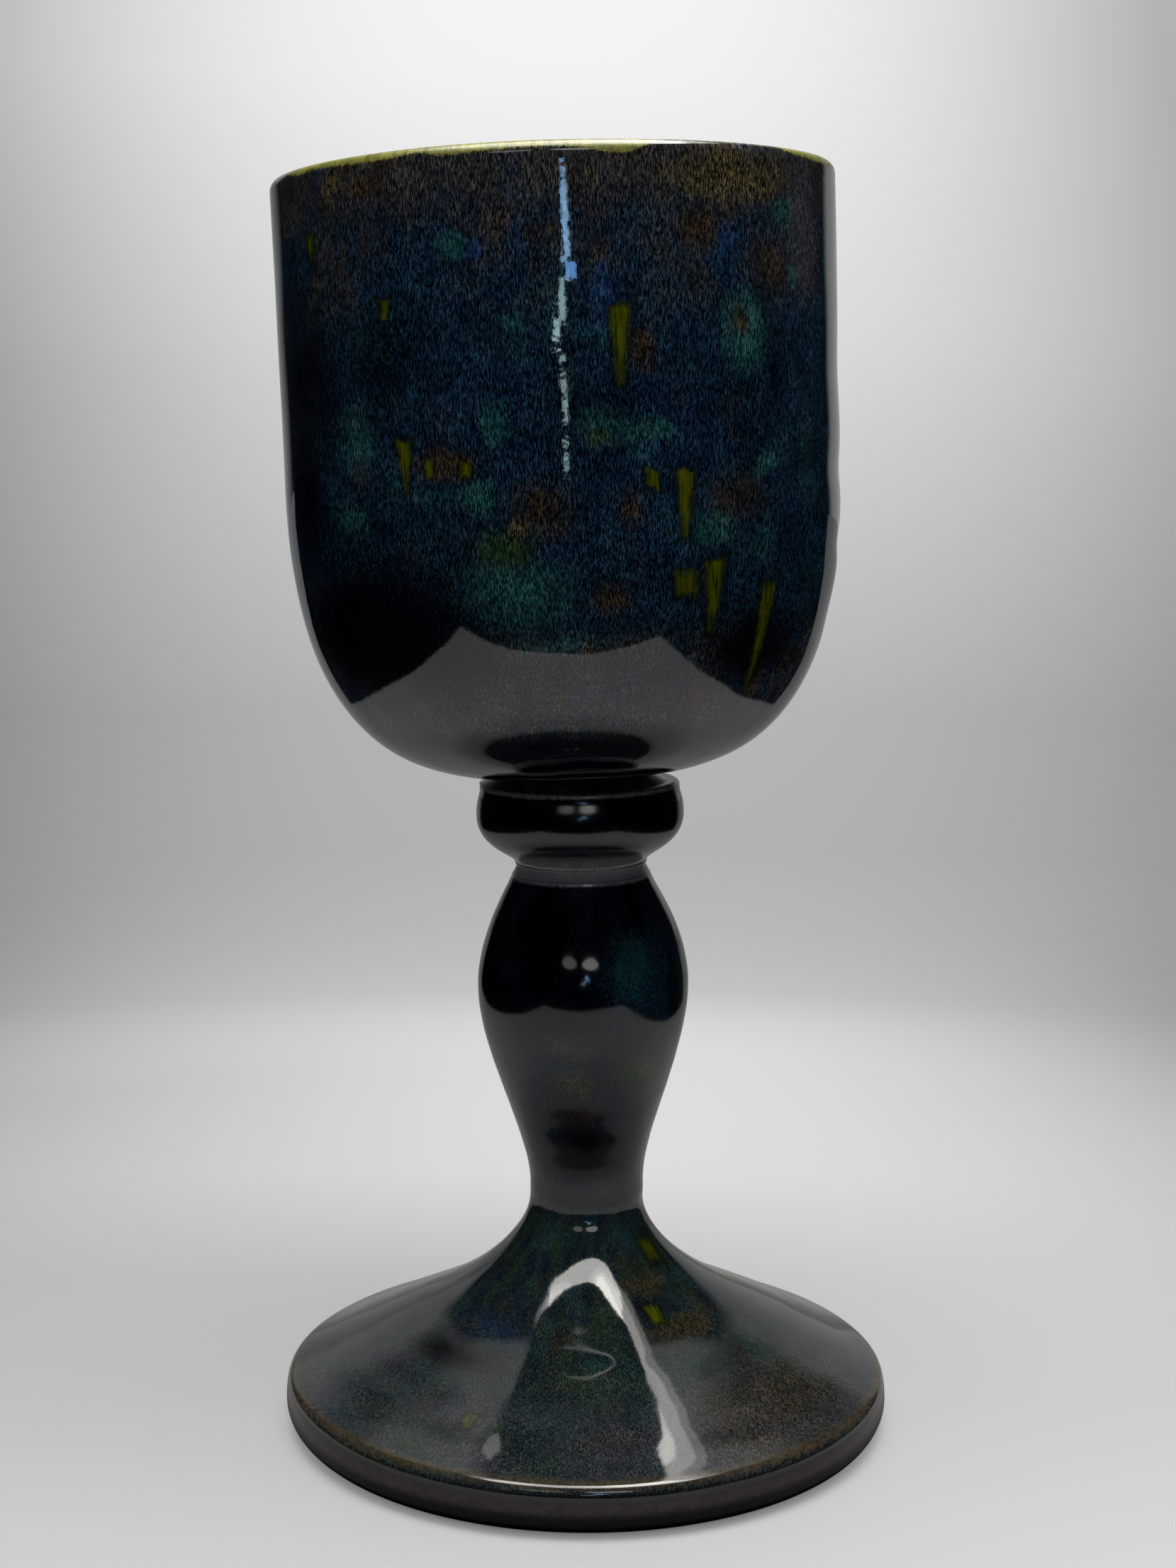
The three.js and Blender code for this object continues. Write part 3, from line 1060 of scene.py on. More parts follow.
@dataclass
class Knop(Thrown):
    """The squat ring between stem and bowl, with a shelf on top that has a raised, rounded edge."""

    base: float = 50.9
    height: float = 12.7
    radius: float = 15.9
    widest_height: float = 7.8
    neck_radius: float = 10.1
    lower_edge: float = 0.3
    lower_pulls: tuple = (0.2, 0.69)
    upper_pulls: tuple = (0.57, 0.3)
    rim: tuple = (0.675, 0.65)  # how far in the shelf's edge is rounded, and how far down
    rim_inset: float = 0.65
    rim_inside: tuple = (12.9, 12.2)  # where the raised edge meets the shelf, and ends
    bowl_offset: float = 0.9
    shelf_drop: float = 0.1
    node = "knop"
    seat = STEM_SEAT @ leaning(0.0, 50.9, 0.0)
    marks = HandMarks(seed=23, slope=0.012, shortest=9, longest=40, girth=15)

    def stretches(self) -> list[Stretch]:
        """The outline, from the tenon up over the outside, across the shelf and down the bore."""
        joints = self.joints
        tenon, bore = joints.tenon_radius, joints.bore_radius
        tenon_end, floor = -joints.tenon_length, self.height - joints.socket_depth
        socket = joints.socket_radius + self.bowl_offset
        lower_in = (self.neck_radius - self.lower_edge, 0.0)
        lower_out = (self.neck_radius, self.lower_edge)
        widest = (self.radius, self.widest_height)
        rim_side = (self.radius - self.rim_inset, self.height - self.rim[1])
        rim_top = (rim_side[0] - self.rim[0], self.height)
        leave_rim = (rim_top[0] - 0.5, self.height)
        shelf = self.height - self.shelf_drop
        meet_shelf, shelf_edge = (self.rim_inside[0], shelf), (self.rim_inside[1], shelf)
        return [
            *facets(1, (tenon, tenon_end), (tenon, 0.0), lower_in),
            Stretch(quarter(lower_in, lower_out, 6), rounded_on=True),
            Stretch(swell(lower_out, widest, self.lower_pulls, 24), hand=1.0, rounded_on=True),
            Stretch(swell(widest, rim_side, self.upper_pulls, 12), hand=0.6, rounded_on=True),
            Stretch(quarter(rim_top, rim_side, 8)[::-1], rounded_on=True),
            Stretch(curve(rim_top, leave_rim, meet_shelf, shelf_edge, 8), rounded_on=True),
            Stretch(straight(shelf_edge, (socket, shelf), 6)),
            *facets(1, (socket, shelf), (socket, floor), (bore, floor), (bore, tenon_end)),
        ]

    def glaze(self) -> ReactiveGlaze:
        """The glaze on the knop: nearly black, and paler along the shelf's edge, partly where the glaze ran
        thin and partly painted light in place of the light that the bowl keeps off the shelf.

        Returns:
            The finish.
        """
        fields = (
            Field(Tone.DEEP, 60.0, 1.6, strength=0.8),
            Field(Tone.TEAL, 5.0, 0.25, strength=0.3),
            Field(Tone.BROWN, 5.0, 0.35, high=6.0, strength=0.5),
        )
        thin_and_painted_bands = (
            # partly painted light: the shelf band is thin glaze, painted paler to make up for the bowl's
            # shade over it
            ThinGlazeAndPaintedBand("#8e888a", "#6a6466", 12.1, 30.0, 0.4, 0.2, 0.9, dry=0.1),
            ThinGlazeAndPaintedBand("#5e6462", "#484b40", -5.0, 2.6, 1.3, 0.3, 0.8),
        )
        skin = Skin(self.seat, self.side(2, 6), girth=14.0)
        return ReactiveGlaze(
            "reactive_glaze_knop", skin, fields=fields, thin_and_painted_bands=thin_and_painted_bands,
            fur=0.15, glassy=1.48, polish=0.15, seed=53.0,
        )


@dataclass
class Bowl(Thrown):
    """The deep bowl: a full round bottom, an upright wall and a round lip.

    It leans more than the stem, and is set over towards the lean.
    """

    height: float = 87.7
    radius: float = 41.25
    base_radius: float = 14.0
    curve_height: float = 43.7
    wall: float = 4.0
    floor: float = 7.0
    lip_width: float = 3.4
    lip_height: float = 2.2
    lip_edge: tuple = (1.05, 1.4)  # how far in and down the lip's outer edge is rounded
    outside_pulls: tuple = (0.89, 0.4)
    inside_pulls: tuple = (0.86, 0.77)
    base_rise: float = 0.032
    node = "bowl"
    seat = STEM_SEAT @ leaning(-0.9, 65.5, 1.0)
    segments = 300
    marks = HandMarks(
        seed=3, slope=0.007, ring_slope=0.002, ring_pitch=4.4, girth=41.25, proud=0.24,
        dents=(
            (86, 44, 3.2, 16, 0.3), (92, 33.5, 2.4, 13, 0.28), (84, 58, 5, 15, 0.16), (88, 23, 3.4, 12, 0.2),
        ),
    )

    def stretches(self) -> list[Stretch]:
        """The outline, from the tenon up over the outside and the lip, and down to the floor."""
        tenon, tenon_end = self.joints.tenon_radius, -self.joints.tenon_length
        base = (self.base_radius, 0.0)
        wall_foot = (self.radius, self.curve_height)
        wall_top = (self.radius, self.height - self.lip_edge[1])
        lip = (self.radius - self.lip_edge[0], self.height)
        lip_inside = (self.radius - self.lip_width, self.height - self.lip_height)
        inner_foot = (self.radius - self.wall, self.curve_height)
        leave_radius = base[0] + self.outside_pulls[0] * (wall_foot[0] - base[0])
        leave = (leave_radius, self.base_rise * self.curve_height)
        meet = (wall_foot[0], wall_foot[1] * (1 - self.outside_pulls[1]))
        inner_leave = (inner_foot[0], inner_foot[1] - self.inside_pulls[1] * (inner_foot[1] - self.floor))
        inner_meet = (self.inside_pulls[0] * inner_foot[0], self.floor)
        return [
            *facets(2, (0.0, tenon_end), (tenon, tenon_end), (tenon, 0.0)),
            Stretch(straight((tenon, 0.0), base, 4)),
            Stretch(curve(base, leave, meet, wall_foot, 64), hand=1.0, rounded_on=True),
            Stretch(straight(wall_foot, wall_top, 44), hand=1.0, rounded_on=True),
            Stretch(quarter(lip, wall_top, 12)[::-1], hand=1.0, rounded_on=True),
            Stretch(quarter(lip, lip_inside, 14), 1, 1.0, rounded_on=True),
            Stretch(straight(lip_inside, inner_foot, 36), 1, 0.6, rounded_on=True),
            Stretch(curve(inner_foot, inner_leave, inner_meet, (0.0, self.floor), 44), 1, 0.6),
        ]

    def glaze(self) -> ReactiveGlaze:
        """The glaze outside, with the marks that the photograph shows and made-up ones round the back.

        Returns:
            The finish.
        """
        runs = (
            (12.0, 66.7, 56.6, 3.3), (24.0, 44.8, 35.8, 3.1), (17.6, 44.9, 42.6, 1.9, 0.0, 0.1),
            (24.2, 31.3, 27.7, 3.8, 0.0, 0.2), (30.3, 32.6, 22.5, 3.6), (44.7, 28.7, 12.6, 3.0, 3.0),
            (-30.2, 50.0, 43.0, 2.4), (-24.9, 47.3, 44.9, 1.5, 0.0, 0.1), (-53.5, 78.3, 74.8, 2.1),
            (-33.2, 68.9, 66.0, 2.0), (-17.5, 46.5, 44.5, 1.5, 0.0, 0.1), (83.0, 52.0, 43.5, 2.8),
            (97.0, 30.5, 20.0, 3.4, -2.0), (108.0, 71.0, 66.5, 2.2), (124.0, 46.0, 35.0, 3.2),
            (131.0, 33.5, 29.5, 3.0, 0.0, 0.3), (150.0, 62.0, 55.0, 2.6), (168.0, 40.0, 27.5, 3.5, 2.0),
            (-171.0, 49.0, 46.0, 1.8, 0.0, 0.2), (-152.0, 69.0, 60.5, 3.0), (-138.0, 36.0, 24.5, 3.3),
            (-121.0, 45.5, 41.5, 2.0, 0.0, 0.3), (-104.0, 58.5, 50.0, 2.8), (-86.0, 34.5, 25.5, 2.9, -2.0),
        )
        patches = blooms_and_painted_patches(
            TEAL=(
                (38.0, 62.9, 7.5, 9.9), (7.3, 50.8, 5.6, 4.8), (16.3, 50.3, 7.9, 3.4),
                (-18.8, 75.1, 4.0, 3.6), (-7.5, 64.5, 3.0, 3.0, 0.8), (-12.0, 51.7, 3.6, 5.0),
                (-15.3, 42.1, 4.4, 4.0), (-41.7, 50.3, 7.1, 9.6, 0.6), (-43.1, 39.2, 5.5, 3.6, 0.8),
                (-26.1, 41.9, 20.0, 3.6, 0.25),
                (43.0, 45.5, 3.6, 2.6), (30.1, 36.7, 7.0, 5.4, 0.9), (51.0, 78.9, 6.6, 3.4),
                (53.3, 70.9, 2.6, 2.6), (-9.8, 29.0, 15.0, 11.0, 0.85), (-2.0, 22.0, 18.0, 3.0, 0.7),
            ),
            GREEN=((7.0, 49.8, 3.6, 2.6, 0.8), (-10.5, 35.0, 8.0, 5.5, 0.7)),
            GOLD=((-8.2, 37.4, 3.0, 4.0, 0.6), (36.5, 83.3, 19.2, 6.0), (-45.8, 84.5, 3.9, 3.7)),
            BROWN=(
                (37.0, 64.7, 3.6, 4.8, 0.55), (-36.7, 83.4, 6.0, 3.0), (27.8, 76.5, 7.0, 5.4, 0.7),
                (16.1, 60.9, 4.4, 6.2, 0.7), (13.1, 40.1, 4.0, 5.0, 0.5), (-3.3, 40.0, 9.0, 8.0, 0.55),
                (-22.0, 46.5, 9.0, 4.0, 0.8), (44.3, 72.1, 8.8, 9.4, 0.5), (36.0, 41.0, 11.0, 7.0, 0.5),
                (9.0, 28.0, 6.0, 5.0, 0.6),
            ),
            ASH=((57.0, 77.0, 8.0, 18.0, 0.75),),
            BLUE=(
                (36.0, 81.9, 2.4, 3.0), (34.1, 75.7, 2.4, 4.4),
                (8.8, 67.4, 3.0, 8.0), (-14.0, 74.2, 2.6, 2.6),
            ),
            DEEP=(
                (-42.0, 23.0, 38.0, 26.0, 0.8), (-60.0, 44.0, 16.0, 34.0, 0.5),
                (-34.0, 60.0, 14.0, 18.0, 0.4), (-58.0, 58.0, 20.0, 26.0, 0.5),
                (46.0, 58.0, 8.0, 26.0, 0.35), (42.0, 20.0, 18.0, 14.0, 0.7),
            ),
        )
        fields = (
            Field(Tone.DUSK, 60.0, 1.6, low=79.5, fade=5.0),
            Field(Tone.DUSK, 9.0, 0.5, low=66.0, strength=0.7),
            Field(Tone.BLUE, 7.0, 0.3, strength=0.45),
            Field(Tone.TEAL, 7.0, 0.34, low=16.0, high=72.0, strength=0.5),
            Field(Tone.BROWN, 6.0, 0.38, low=68.0, fade=6.0, strength=0.7),
            Field(Tone.BROWN, 8.0, 0.25, high=60.0, strength=0.6),
            Field(Tone.BROWN, 7.0, 0.5, high=23.0, fade=3.0, strength=0.8),
            Field(Tone.GOLD, 5.0, 0.4, high=23.0, fade=3.0, strength=0.6, stretch=2.5),
            Field(Tone.BLUE, 5.0, 0.36, high=23.0, fade=3.0, strength=0.9),
            Field(Tone.GOLD, 4.0, 0.3, low=80.0, fade=4.0, strength=0.5),
            Field(Tone.ASH, 7.0, 0.4, high=23.0, fade=3.0, soft=0.2, strength=0.8),
            # painted shade: the underside round the base, facing down over the knop, is painted near-black
            Field(Tone.DEEP, 60.0, 1.6, high=9.0, fade=2.0),
            Field(Tone.DEEP, 15.0, 0.42, low=30.0, high=64.0, soft=0.2, strength=0.5),
        )
        widths = (
            (-179, 0.7), (-150, 1.2), (-120, 0.5), (-84, 0.35), (-70, 0.3), (-62, 0.5), (-57, 1.1),
            (-52, 0.75), (-40, 1.0), (-31, 0.9), (-24, 0.5), (-20, 1.2), (-10, 0.9), (0, 0.7), (6, 1.0),
            (12, 1.9), (16, 1.5), (19, 0.5), (22, 0.0), (48, 0.0), (53, 0.6), (62, 1.1), (72, 1.3),
            (82, 0.9), (110, 1.3), (179, 0.7),
        )
        thin_and_painted_bands = (ThinGlazeAndPaintedBand("#87873c", "#4b4e20", self.height, 200.0, 0.16, 0.35, widths=widths, dry=0.3),)
        drips = tuple(Drip(*run) for run in runs)
        skin = Skin(self.seat, self.side(3, 6), girth=self.radius, out=0.8)
        return ReactiveGlaze("reactive_glaze_bowl", skin, drips, patches, fields, thin_and_painted_bands)

    def inside_glaze(self) -> ReactiveGlaze:
        """The glaze inside, which pooled blue on the floor; none of it shows in the photograph.

        Returns:
            The finish.
        """
        fields = (
            Field(Tone.BLUE, 14.0, 0.75, high=22.0, fade=9.0),
            Field(Tone.TEAL, 9.0, 0.5, low=14.0, high=66.0, strength=0.7),
            Field(Tone.BROWN, 8.0, 0.6, low=66.0, fade=10.0),
        )
        thin_and_painted_bands = (ThinGlazeAndPaintedBand("#87873c", "#4b4e20", 85.6, 200.0, 0.3, 1.2, dry=0.3),)
        skin = Skin(self.seat, self.side(7, 9)[::-1], girth=self.radius - self.wall, out=0.8)
        return ReactiveGlaze("reactive_glaze_inside", skin, fields=fields, thin_and_painted_bands=thin_and_painted_bands, seed=71.0)


@dataclass
class SlipRing:
    """A ring of slip that fills one joint, smoothed to a shallow cove and glazed over."""

    name: str
    node: str
    low_seat: Matrix  # the frame of its lower face
    high_seat: Matrix  # the frame of its upper face
    low_radius: float
    high_radius: float
    hollow: float  # how far its side is drawn in
    thickness: float
    bore: float
    segments: int = 200

    def build(self, *finishes: bpy.types.Material) -> bpy.types.Object:
        """Makes the ring.

        Args:
            *finishes: what covers its side, and what is hidden in the joint.

        Returns:
            The ring's object.
        """
        low, high = (self.low_radius, 0.0), (self.high_radius, self.thickness)
        across, third = (self.high_radius - self.low_radius) / 3, self.thickness / 3
        leave = (self.low_radius + across - self.hollow, third)
        meet = (self.low_radius + 2 * across - self.hollow, 2 * third)
        side = Stretch(curve(low, leave, meet, high, 14))
        stretches = [side, *facets(1, high, (self.bore, self.thickness), (self.bore, 0.0))]
        seat = self.high_seat @ Matrix.Translation((0, 0, -self.thickness))
        ring = Turned(self.name, self.node, "fired_slip", seat, stretches, self.segments, finishes)
        ring.foot_seat = self.low_seat
        return ring.build()


def slip_rings(foot: Foot, stem: Stem, knop: Knop, bowl: Bowl) -> list[SlipRing]:
    """The rings of slip in the three joints.

    Args:
        foot: the foot, under the lowest ring.
        stem: the stem, between the lower two.
        knop: the knop, between the upper two.
        bowl: the bowl, over the highest ring.

    Returns:
        The rings, from the lowest up.
    """
    joints = stem.joints
    foot_top = foot.seat @ leaning(0.0, foot.height, 0.0)
    waist, neck = (stem.seat @ leaning(0.0, height, 0.0) for height in (joints.gap, stem.length))
    shelf = stem.seat @ leaning(-knop.bowl_offset, knop.base + knop.height - knop.shelf_drop, 0.0)
    neck_radii = (stem.neck_radius - stem.bead[0], knop.neck_radius - knop.lower_edge)
    # each ring's name and node, frames below and above, radii below and above, hollow and thickness
    rings = (
        ("waist", "stem_to_foot", foot_top, waist, foot.waist_radius, foot.waist_radius, 0.0, 1.1),
        ("neck", "knop_to_stem", neck, knop.seat, *neck_radii, 0.06, 1.4),
        ("bowl", "bowl_to_knop", shelf, bowl.seat, 14.4, 10.0, 0.35, 2.0),
    )
    bore = joints.socket_radius
    return [SlipRing(f"slip_ring_{name}", f"slip_joint_{node}", *sizes, bore) for name, node, *sizes in rings]


# The studio


@dataclass(frozen=True)
class Lamp:
    """An area lamp that the camera doesn't see itself, only in reflections."""

    name: str
    place: tuple[float, float, float]
    aim: tuple[float, float, float]
    size: tuple[float, float]
    colour: str
    radiance: float
    disc: bool = True
    lights: bool = False  # whether it lights things as well as showing in reflections

    def build(self) -> bpy.types.Object:
        """Hangs the lamp.

        Returns:
            The lamp's object.
        """
        data = bpy.data.lights.new(self.name, "AREA")
        data.shape = "ELLIPSE" if self.disc else "RECTANGLE"
        data.size, data.size_y = self.size
        area = self.size[0] * self.size[1] * (math.pi / 4 if self.disc else 1.0)
        data.energy = self.radiance * area * 4.0
        data.color = linear(self.colour)[:3]
        lamp = bpy.data.objects.new(self.name, data)
        bpy.context.scene.collection.objects.link(lamp)
        lamp.location = self.place
        toward = Vector(self.aim) - Vector(self.place)
        lamp.rotation_euler = toward.to_track_quat("-Z", "Y").to_euler()
        lamp.visible_camera = False
        lamp.visible_diffuse = self.lights
        return lamp


@dataclass(frozen=True)
class Studio:
    """A pale table and a pale backdrop behind the pot, with a dark room round the camera."""

    focal_pixels: float = 3279.4
    frame_height: float = 2212.0
    eye: tuple[float, float, float] = (-0.000035, -0.35139, 0.14918)
    pitch: float = -8.0
    roll: float = 0.226
    lamp_height: float = 0.55
    # the lamps overhead: place across and ahead, width and depth in metres, radiance; the first also lights
    overhead: tuple = (
        (0.01, -0.115, 0.47, 0.41, 5.7), (0.01, -0.115, 0.46, 0.4, 2.5), (0.105, -0.02, 0.13, 0.32, 4.5),
        (0.1, -0.01, 0.23, 0.38, 2.7), (0.1, -0.02, 0.3, 0.44, 1.8), (-0.145, -0.03, 0.14, 0.2, 2.0),
        (-0.15, 0.02, 0.13, 0.2, 1.8),
    )
    # the window's panes: side, lowest and highest elevation in degrees, width in metres, colour, radiance
    window: tuple = (
        (4.7, 8.3, 9.3, 0.055, "#9accf8", 7.6), (4.3, 7.5, 8.4, 0.07, "#9accf8", 7.6),
        (5.0, 6.7, 7.6, 0.064, "#9accf8", 7.6), (3.4, 6.2, 6.8, 0.06, "#9accf8", 7.6),
        (6.2, 5.4, 6.3, 0.12, "#74b0fc", 8.4), (4.6, 5.1, 5.5, 0.06, "#a9d2f0", 6.0),
        (2.4, 4.2, 5.15, 0.052, "#b8e2ee", 6.2), (1.8, 3.6, 4.22, 0.058, "#bce4ec", 6.2),
        (-0.4, 3.0, 3.62, 0.076, "#bce4ec", 8.4), (1.7, 2.16, 2.5, 0.05, "#c0e6e2", 6.0),
    )

    def build(self) -> None:
        """Sets up the table, the surroundings, the lamps and the camera."""
        self.table()
        self.surroundings()
        for lamp in self.lamps():
            lamp.build()
        self.camera()
        bpy.context.scene.view_settings.view_transform = "Standard"

    def lamps(self) -> list[Lamp]:
        """The lamps: a round one overhead, two far small ones, and a slit of window far in front.

        Returns:
            The lamps.
        """
        pot = (0.0, 0.0, 0.12)
        lamps = []
        for number, (x, y, wide, deep, power) in enumerate(self.overhead):
            place, name = (x, y, self.lamp_height - number * MM), f"lamp_overhead_{number}"
            lamps.append(Lamp(name, place, (x, y, 0), (wide, deep), "#fffcf7", power, lights=number == 0))
        for name, side, power in (("lamp_far_left", -16.0, 1.3), ("lamp_far_right", 9.0, 2.8)):
            lamps.append(Lamp(name, self.toward(side, 19.5, 2.0), pot, (0.6, 0.34), "#fffdf8", power))
        for number, (side, low, high, wide, shade, power) in enumerate(self.window):
            place, size = self.toward(side, (low + high) / 2, 1.6), (wide, (high - low) * 0.028)
            lamps.append(Lamp(f"window_{number}", place, pot, size, shade, power, disc=False, lights=True))
        return lamps

    @staticmethod
    def toward(side: float, elevation: float, distance: float) -> tuple[float, float, float]:
        """A place in front of the pot, in metres.

        Args:
            side: degrees from straight in front, towards +X.
            elevation: degrees above the horizon.
            distance: how far off, in metres.

        Returns:
            The place.
        """
        turn, climb = math.radians(side), math.radians(elevation)
        level = distance * math.cos(climb)
        return (level * math.sin(turn), -level * math.cos(turn), 0.12 + distance * math.sin(climb))

    def table(self) -> None:
        """Lays the table top, pale where the picture and the reflections need it, with painted light and
        shade on it.
        """
        mesh = bpy.data.meshes.new("table_top")
        reach = 3.0
        corners = [(-reach, -reach, 0), (reach, -reach, 0), (reach, reach, 0), (-reach, reach, 0)]
        mesh.from_pydata(corners, [], [(0, 1, 2, 3)])
        top = bpy.data.objects.new("table_top", mesh)
        bpy.context.scene.collection.objects.link(top)
        material, add = new_material("pale_table")
        here = add("TexCoord").outputs["Object"]
        axes = add("SeparateXYZ", here).outputs[:]
        far = add("VectorMath LENGTH", here)
        seen, mirrored = self.seen_table(add, axes, far), self.mirrored_table(add, axes, far)
        add("OutputMaterial", add("MixShader", add("LightPath").outputs["Is Camera Ray"], mirrored, seen))
        mesh.materials.append(material)

    @staticmethod
    def seen_table(add: Adder, axes: list, far: Node) -> Node:
        """Adds the table as the camera sees it, which fades into the backdrop; its glow is painted light, a
        pool brighter behind the pot that darkens to both sides, with a painted contact shadow round the foot.

        Args:
            add: what adds a node.
            axes: the place across, ahead and up.
            far: how far it is from the pot.

        Returns:
            The shader.
        """
        gone = add("MapRange SMOOTHSTEP", far, 0.2, 0.3)
        back = add("MapRange", axes[1], -0.06, 0.12)
        # painted light: the emission's tone, brighter further behind the pot
        stops = ((0.0, 0.33), (0.2, 0.32), (0.35, 0.32), (0.66, 0.37), (1.0, 0.48))
        even = fill_ramp(add("ValToRGB", back), *stops)
        aside = add("Math POWER", add("Math ADD", axes[0], -0.01), 2.0)
        falloff = -36.0  # how fast it darkens to both sides
        aside = add("Math MULTIPLY", add("Math MULTIPLY", aside, back), falloff)
        tilt = add("MapRange", axes[0], -0.15, 0.15, 0.84, 1.12)
        tilt = add("Mix", add("MapRange", back, 0.65, 1.0), tilt, 1.0)
        glow = add("Math MULTIPLY", add("Math EXPONENT", aside), tilt)
        # painted contact shadow: the emission drops to 0.3 close round the foot
        contact = add("MapRange SMOOTHSTEP", far, 0.0425, 0.0465, 0.3)
        lit = add("Emission", even, add("Math MULTIPLY", glow, contact))
        pale = add("AddShader", add("BsdfDiffuse", linear(0.34)), lit)
        return add("MixShader", gone, pale, add("BsdfTransparent"))

    @staticmethod
    def mirrored_table(add: Adder, axes: list, far: Node) -> Node:
        """Adds the table as the pot mirrors it: a pale sheet that narrows towards the camera, with painted
        shadow near the foot, painted shade behind the pot and a painted glow far off.

        Args:
            add: what adds a node.
            axes: the place across, ahead and up.
            far: how far it is from the pot.

        Returns:
            The shader.
        """
        sheet: Feed = 1.0
        for axis, side, near, slope in ((0, 1.0, 0.184, 0.73), (0, -1.0, 0.165, 0.87), (1, 1.0, 0.195, 0.0)):
            edge = add("Math MAXIMUM", add("Math MULTIPLY", axes[1], slope), near)
            spare = add("Math MULTIPLY_ADD", axes[axis], side, edge)
            sheet = add("Math MULTIPLY", sheet, add("MapRange", spare, -0.003, 0.003))
        shade = add("Mix RGBA", sheet, linear("#191817"), linear("#e0dfde"))
        # painted shadow: the sheet darkens to near-black round the foot
        stops = ((0.44, 0.06), (0.49, 0.2), (0.55, 0.6), (0.7, 0.75), (0.85, 1.0))
        shadow = fill_ramp(add("ValToRGB", add("Math MULTIPLY", far, 10.0)), *stops)
        # painted shade: the sheet behind the pot is darkened to half
        behind = add("MapRange", axes[1], 0.0, 0.14, 1.0, 0.5)
        shade = add("VectorMath MULTIPLY", add("VectorMath MULTIPLY", shade, shadow), behind)
        # painted glow: a faint emission on the far table
        away = add("MapRange", far, 0.25, 0.7, 0.0, 0.2)
        painted_far_glow = add("Emission", Strength=add("Math MULTIPLY", away, sheet))
        return add("AddShader", add("BsdfDiffuse", shade), painted_far_glow)

    def surroundings(self) -> None:
        """Sets the world: what the camera sees behind the pot, and what the pot mirrors."""
        world = bpy.data.worlds.new("studio")
        bpy.context.scene.world = world
        world.use_nodes = True
        world.node_tree.nodes.clear()
        add = partial(add_node, world.node_tree)
        side, ahead, up = add("SeparateXYZ", add("TexCoord").outputs["Generated"]).outputs[:]
        rise = add("Math MULTIPLY", add("Math ARCSINE", up), 180 / math.pi)
        turn = add("Math MULTIPLY", add("Math ARCTAN2", side, ahead), 180 / math.pi)
        backdrop, mirrored = self.backdrop(add, rise, turn), self.mirrored(add, rise, turn)
        add("OutputWorld", add("MixShader", add("LightPath").outputs["Is Camera Ray"], mirrored, backdrop))

    @staticmethod
    def backdrop(add: Adder, rise: Node, turn: Node) -> Node:
        """Adds the backdrop that the camera sees, brightest near the middle.

        Args:
            add: what adds a node.
            rise: the elevation, in degrees.
            turn: the bearing from +Y towards +X, in degrees.

        Returns:
            The background's node.
        """
        lowest, span = -26.0, 40.0
        share = add("MapRange", rise, lowest, lowest + span)
        levels = (
            (-26.0, 0.60), (-20.0, 0.70), (-18.3, 0.71), (-16.6, 0.65), (-15.7, 0.70), (-14.85, 0.77),
            (-14.0, 0.67), (-13.1, 0.55), (-12.25, 0.51), (-11.4, 0.48), (-9.6, 0.445), (-6.15, 0.465),
            (-2.7, 0.56), (0.8, 0.66), (3.3, 0.74), (5.8, 0.80), (7.8, 0.855), (9.0, 0.887), (10.2, 0.90),
            (14.0, 0.91),
        )
        widths = ((-22.0, 0.0), (-18.0, 0.15), (-14.85, 0.22), (-9.6, 0.17), (0.8, 0.27), (10.2, 0.35))
        # the middles are one degree too far right here, since a ramp holds nothing below zero
        middles = ((-26.0, 0.4), (-14.5, 0.4), (-10.5, 1.7), (2.0, 1.7), (9.0, 0.2))
        tone, narrow, middle = (
            fill_ramp(add("ValToRGB", share), *(((height - lowest) / span, value) for height, value in line))
            for line in (levels, widths, middles)
        )
        aside = add("Math SUBTRACT", turn, add("Math SUBTRACT", middle, 1.0))
        power, falloff, least = 2.7, -0.00157, 0.5  # how it darkens to both sides, and how far at most
        aside = add("Math POWER", add("Math ABSOLUTE", aside), power)
        aside = add("Math MULTIPLY", add("Math MULTIPLY", aside, narrow), falloff)
        glow = add("Math MAXIMUM", add("Math EXPONENT", aside), least)
        return add("Background", tone, glow)

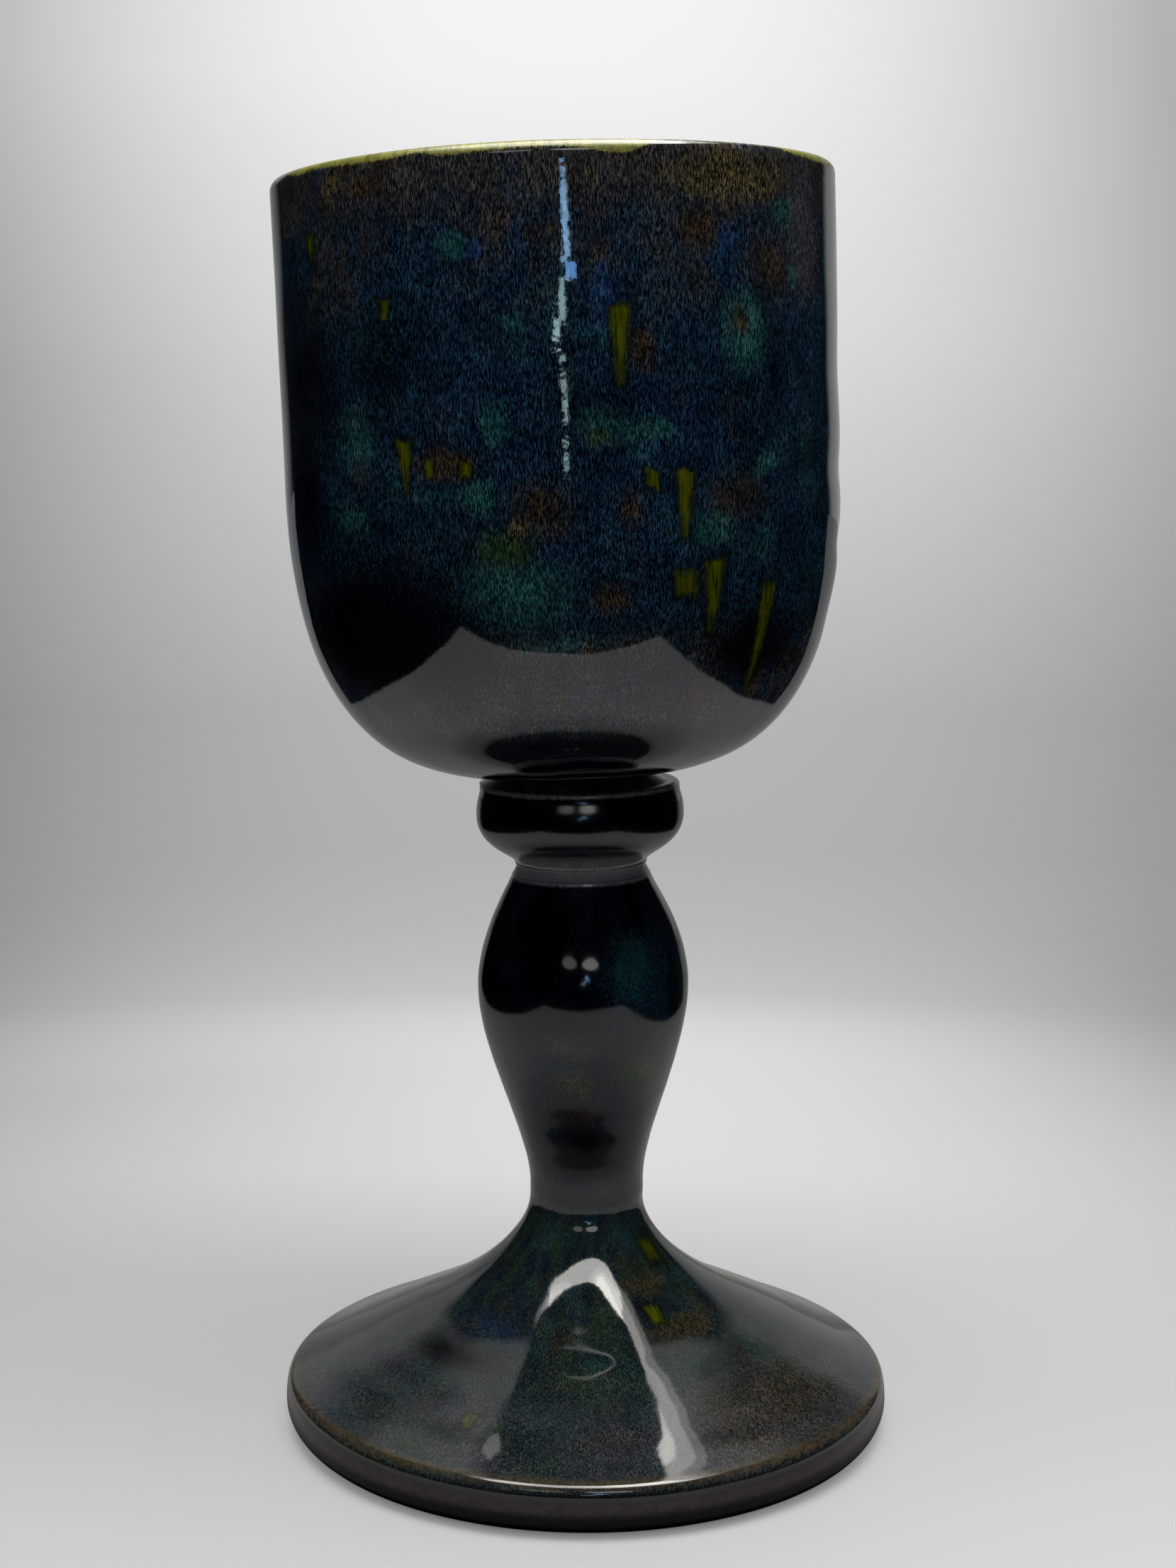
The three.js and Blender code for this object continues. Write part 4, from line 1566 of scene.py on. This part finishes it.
    @staticmethod
    def mirrored(add: Adder, rise: Node, turn: Node) -> Node:
        """Adds what the pot mirrors: a backdrop that widens upwards, and dark all round it.

        Args:
            add: what adds a node.
            rise: the elevation, in degrees.
            turn: the bearing from +Y towards +X, in degrees.

        Returns:
            The background's node.
        """
        inside: Feed = 1.0
        share = add("Math MULTIPLY", rise, 1 / 90.0)
        left = ((0, 32), (8, 33), (20, 33), (28, 33), (36, 34), (43, 37), (50, 43), (57, 46), (65, 50))
        right = ((0, 37), (8, 37), (20, 34), (28, 32), (36, 33), (43, 36), (50, 41), (57, 45), (65, 50))
        for edges, side in ((left, -1.0), (right, 1.0)):
            edge = fill_ramp(add("ValToRGB", share), *((height / 90, wide / 60) for height, wide in edges))
            edge = add("Math MULTIPLY", edge, 60.0)
            spare = add("Math SUBTRACT", edge, add("Math MULTIPLY", turn, side))
            inside = add("Math MULTIPLY", inside, add("MapRange", spare, -3.0, 3.0))
        dim_left = add("MapRange", turn, -30.0, -8.0, 0.4)
        dim_left = add("Math MAXIMUM", dim_left, add("MapRange", rise, 4.0, 14.0))
        inside = add("Math MULTIPLY", inside, dim_left)
        inside = add("Math MULTIPLY", inside, add("MapRange", rise, 68.0, 64.0))
        pale = ((0.0, 0.42), (30 / 90, 0.42), (45 / 90, 0.55), (58 / 90, 0.85), (65 / 90, 1.0))
        tone = fill_ramp(add("ValToRGB", share), *pale)
        return add("Background", tone, add("MapRange", inside, None, None, 0.012))

    def camera(self) -> None:
        """Sets the camera up where the photograph was taken from."""
        data = bpy.data.cameras.new("camera")
        data.sensor_width = 36.0
        data.lens = self.focal_pixels / self.frame_height * data.sensor_width
        data.clip_start = 0.01
        camera = bpy.data.objects.new("camera", data)
        bpy.context.scene.collection.objects.link(camera)
        pitch = Matrix.Rotation(math.radians(90.0 + self.pitch), 4, "X")
        roll = Matrix.Rotation(math.radians(self.roll), 4, "Z")
        camera.matrix_world = Matrix.Translation(self.eye) @ pitch @ roll
        bpy.context.scene.camera = camera


def main() -> None:
    """Loads the frame, builds the pieces in order, then lights them."""
    logging.basicConfig(level=logging.INFO, format="%(name)s: %(message)s")
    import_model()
    joints = Joints()
    foot, stem, knop, bowl = Foot(joints), Stem(joints), Knop(joints), Bowl(joints)
    clay = BareStoneware().build()
    slips = (
        GlazedSlip("glazed_slip", "#020304", "#241d18", 0.07).build(),
        # partly painted highlight: the pale grey under the knop is thin glaze, painted paler to stand for the
        # bead's blurred highlight
        GlazedSlip("glazed_slip_thin_and_painted_highlight", "#85838c", "#a29ea8", 0.3).build(),
        # painted light: the joint under the bowl lies in its shade, and its slip is painted a paler
        # grey-brown in place of light
        GlazedSlip("glazed_slip_neck_painted_light", "#3a3932", "#67625a", 0.25).build(),
    )
    for piece in (foot, stem, knop):
        piece.build(piece.glaze().build(), clay)
    bowl.build(bowl.glaze().build(), bowl.inside_glaze().build(), clay)
    for ring, slip in zip(slip_rings(foot, stem, knop, bowl), slips):
        ring.build(slip, clay)
    Studio().build()
    bpy.context.view_layer.update()


if __name__ == "__main__":
    main()
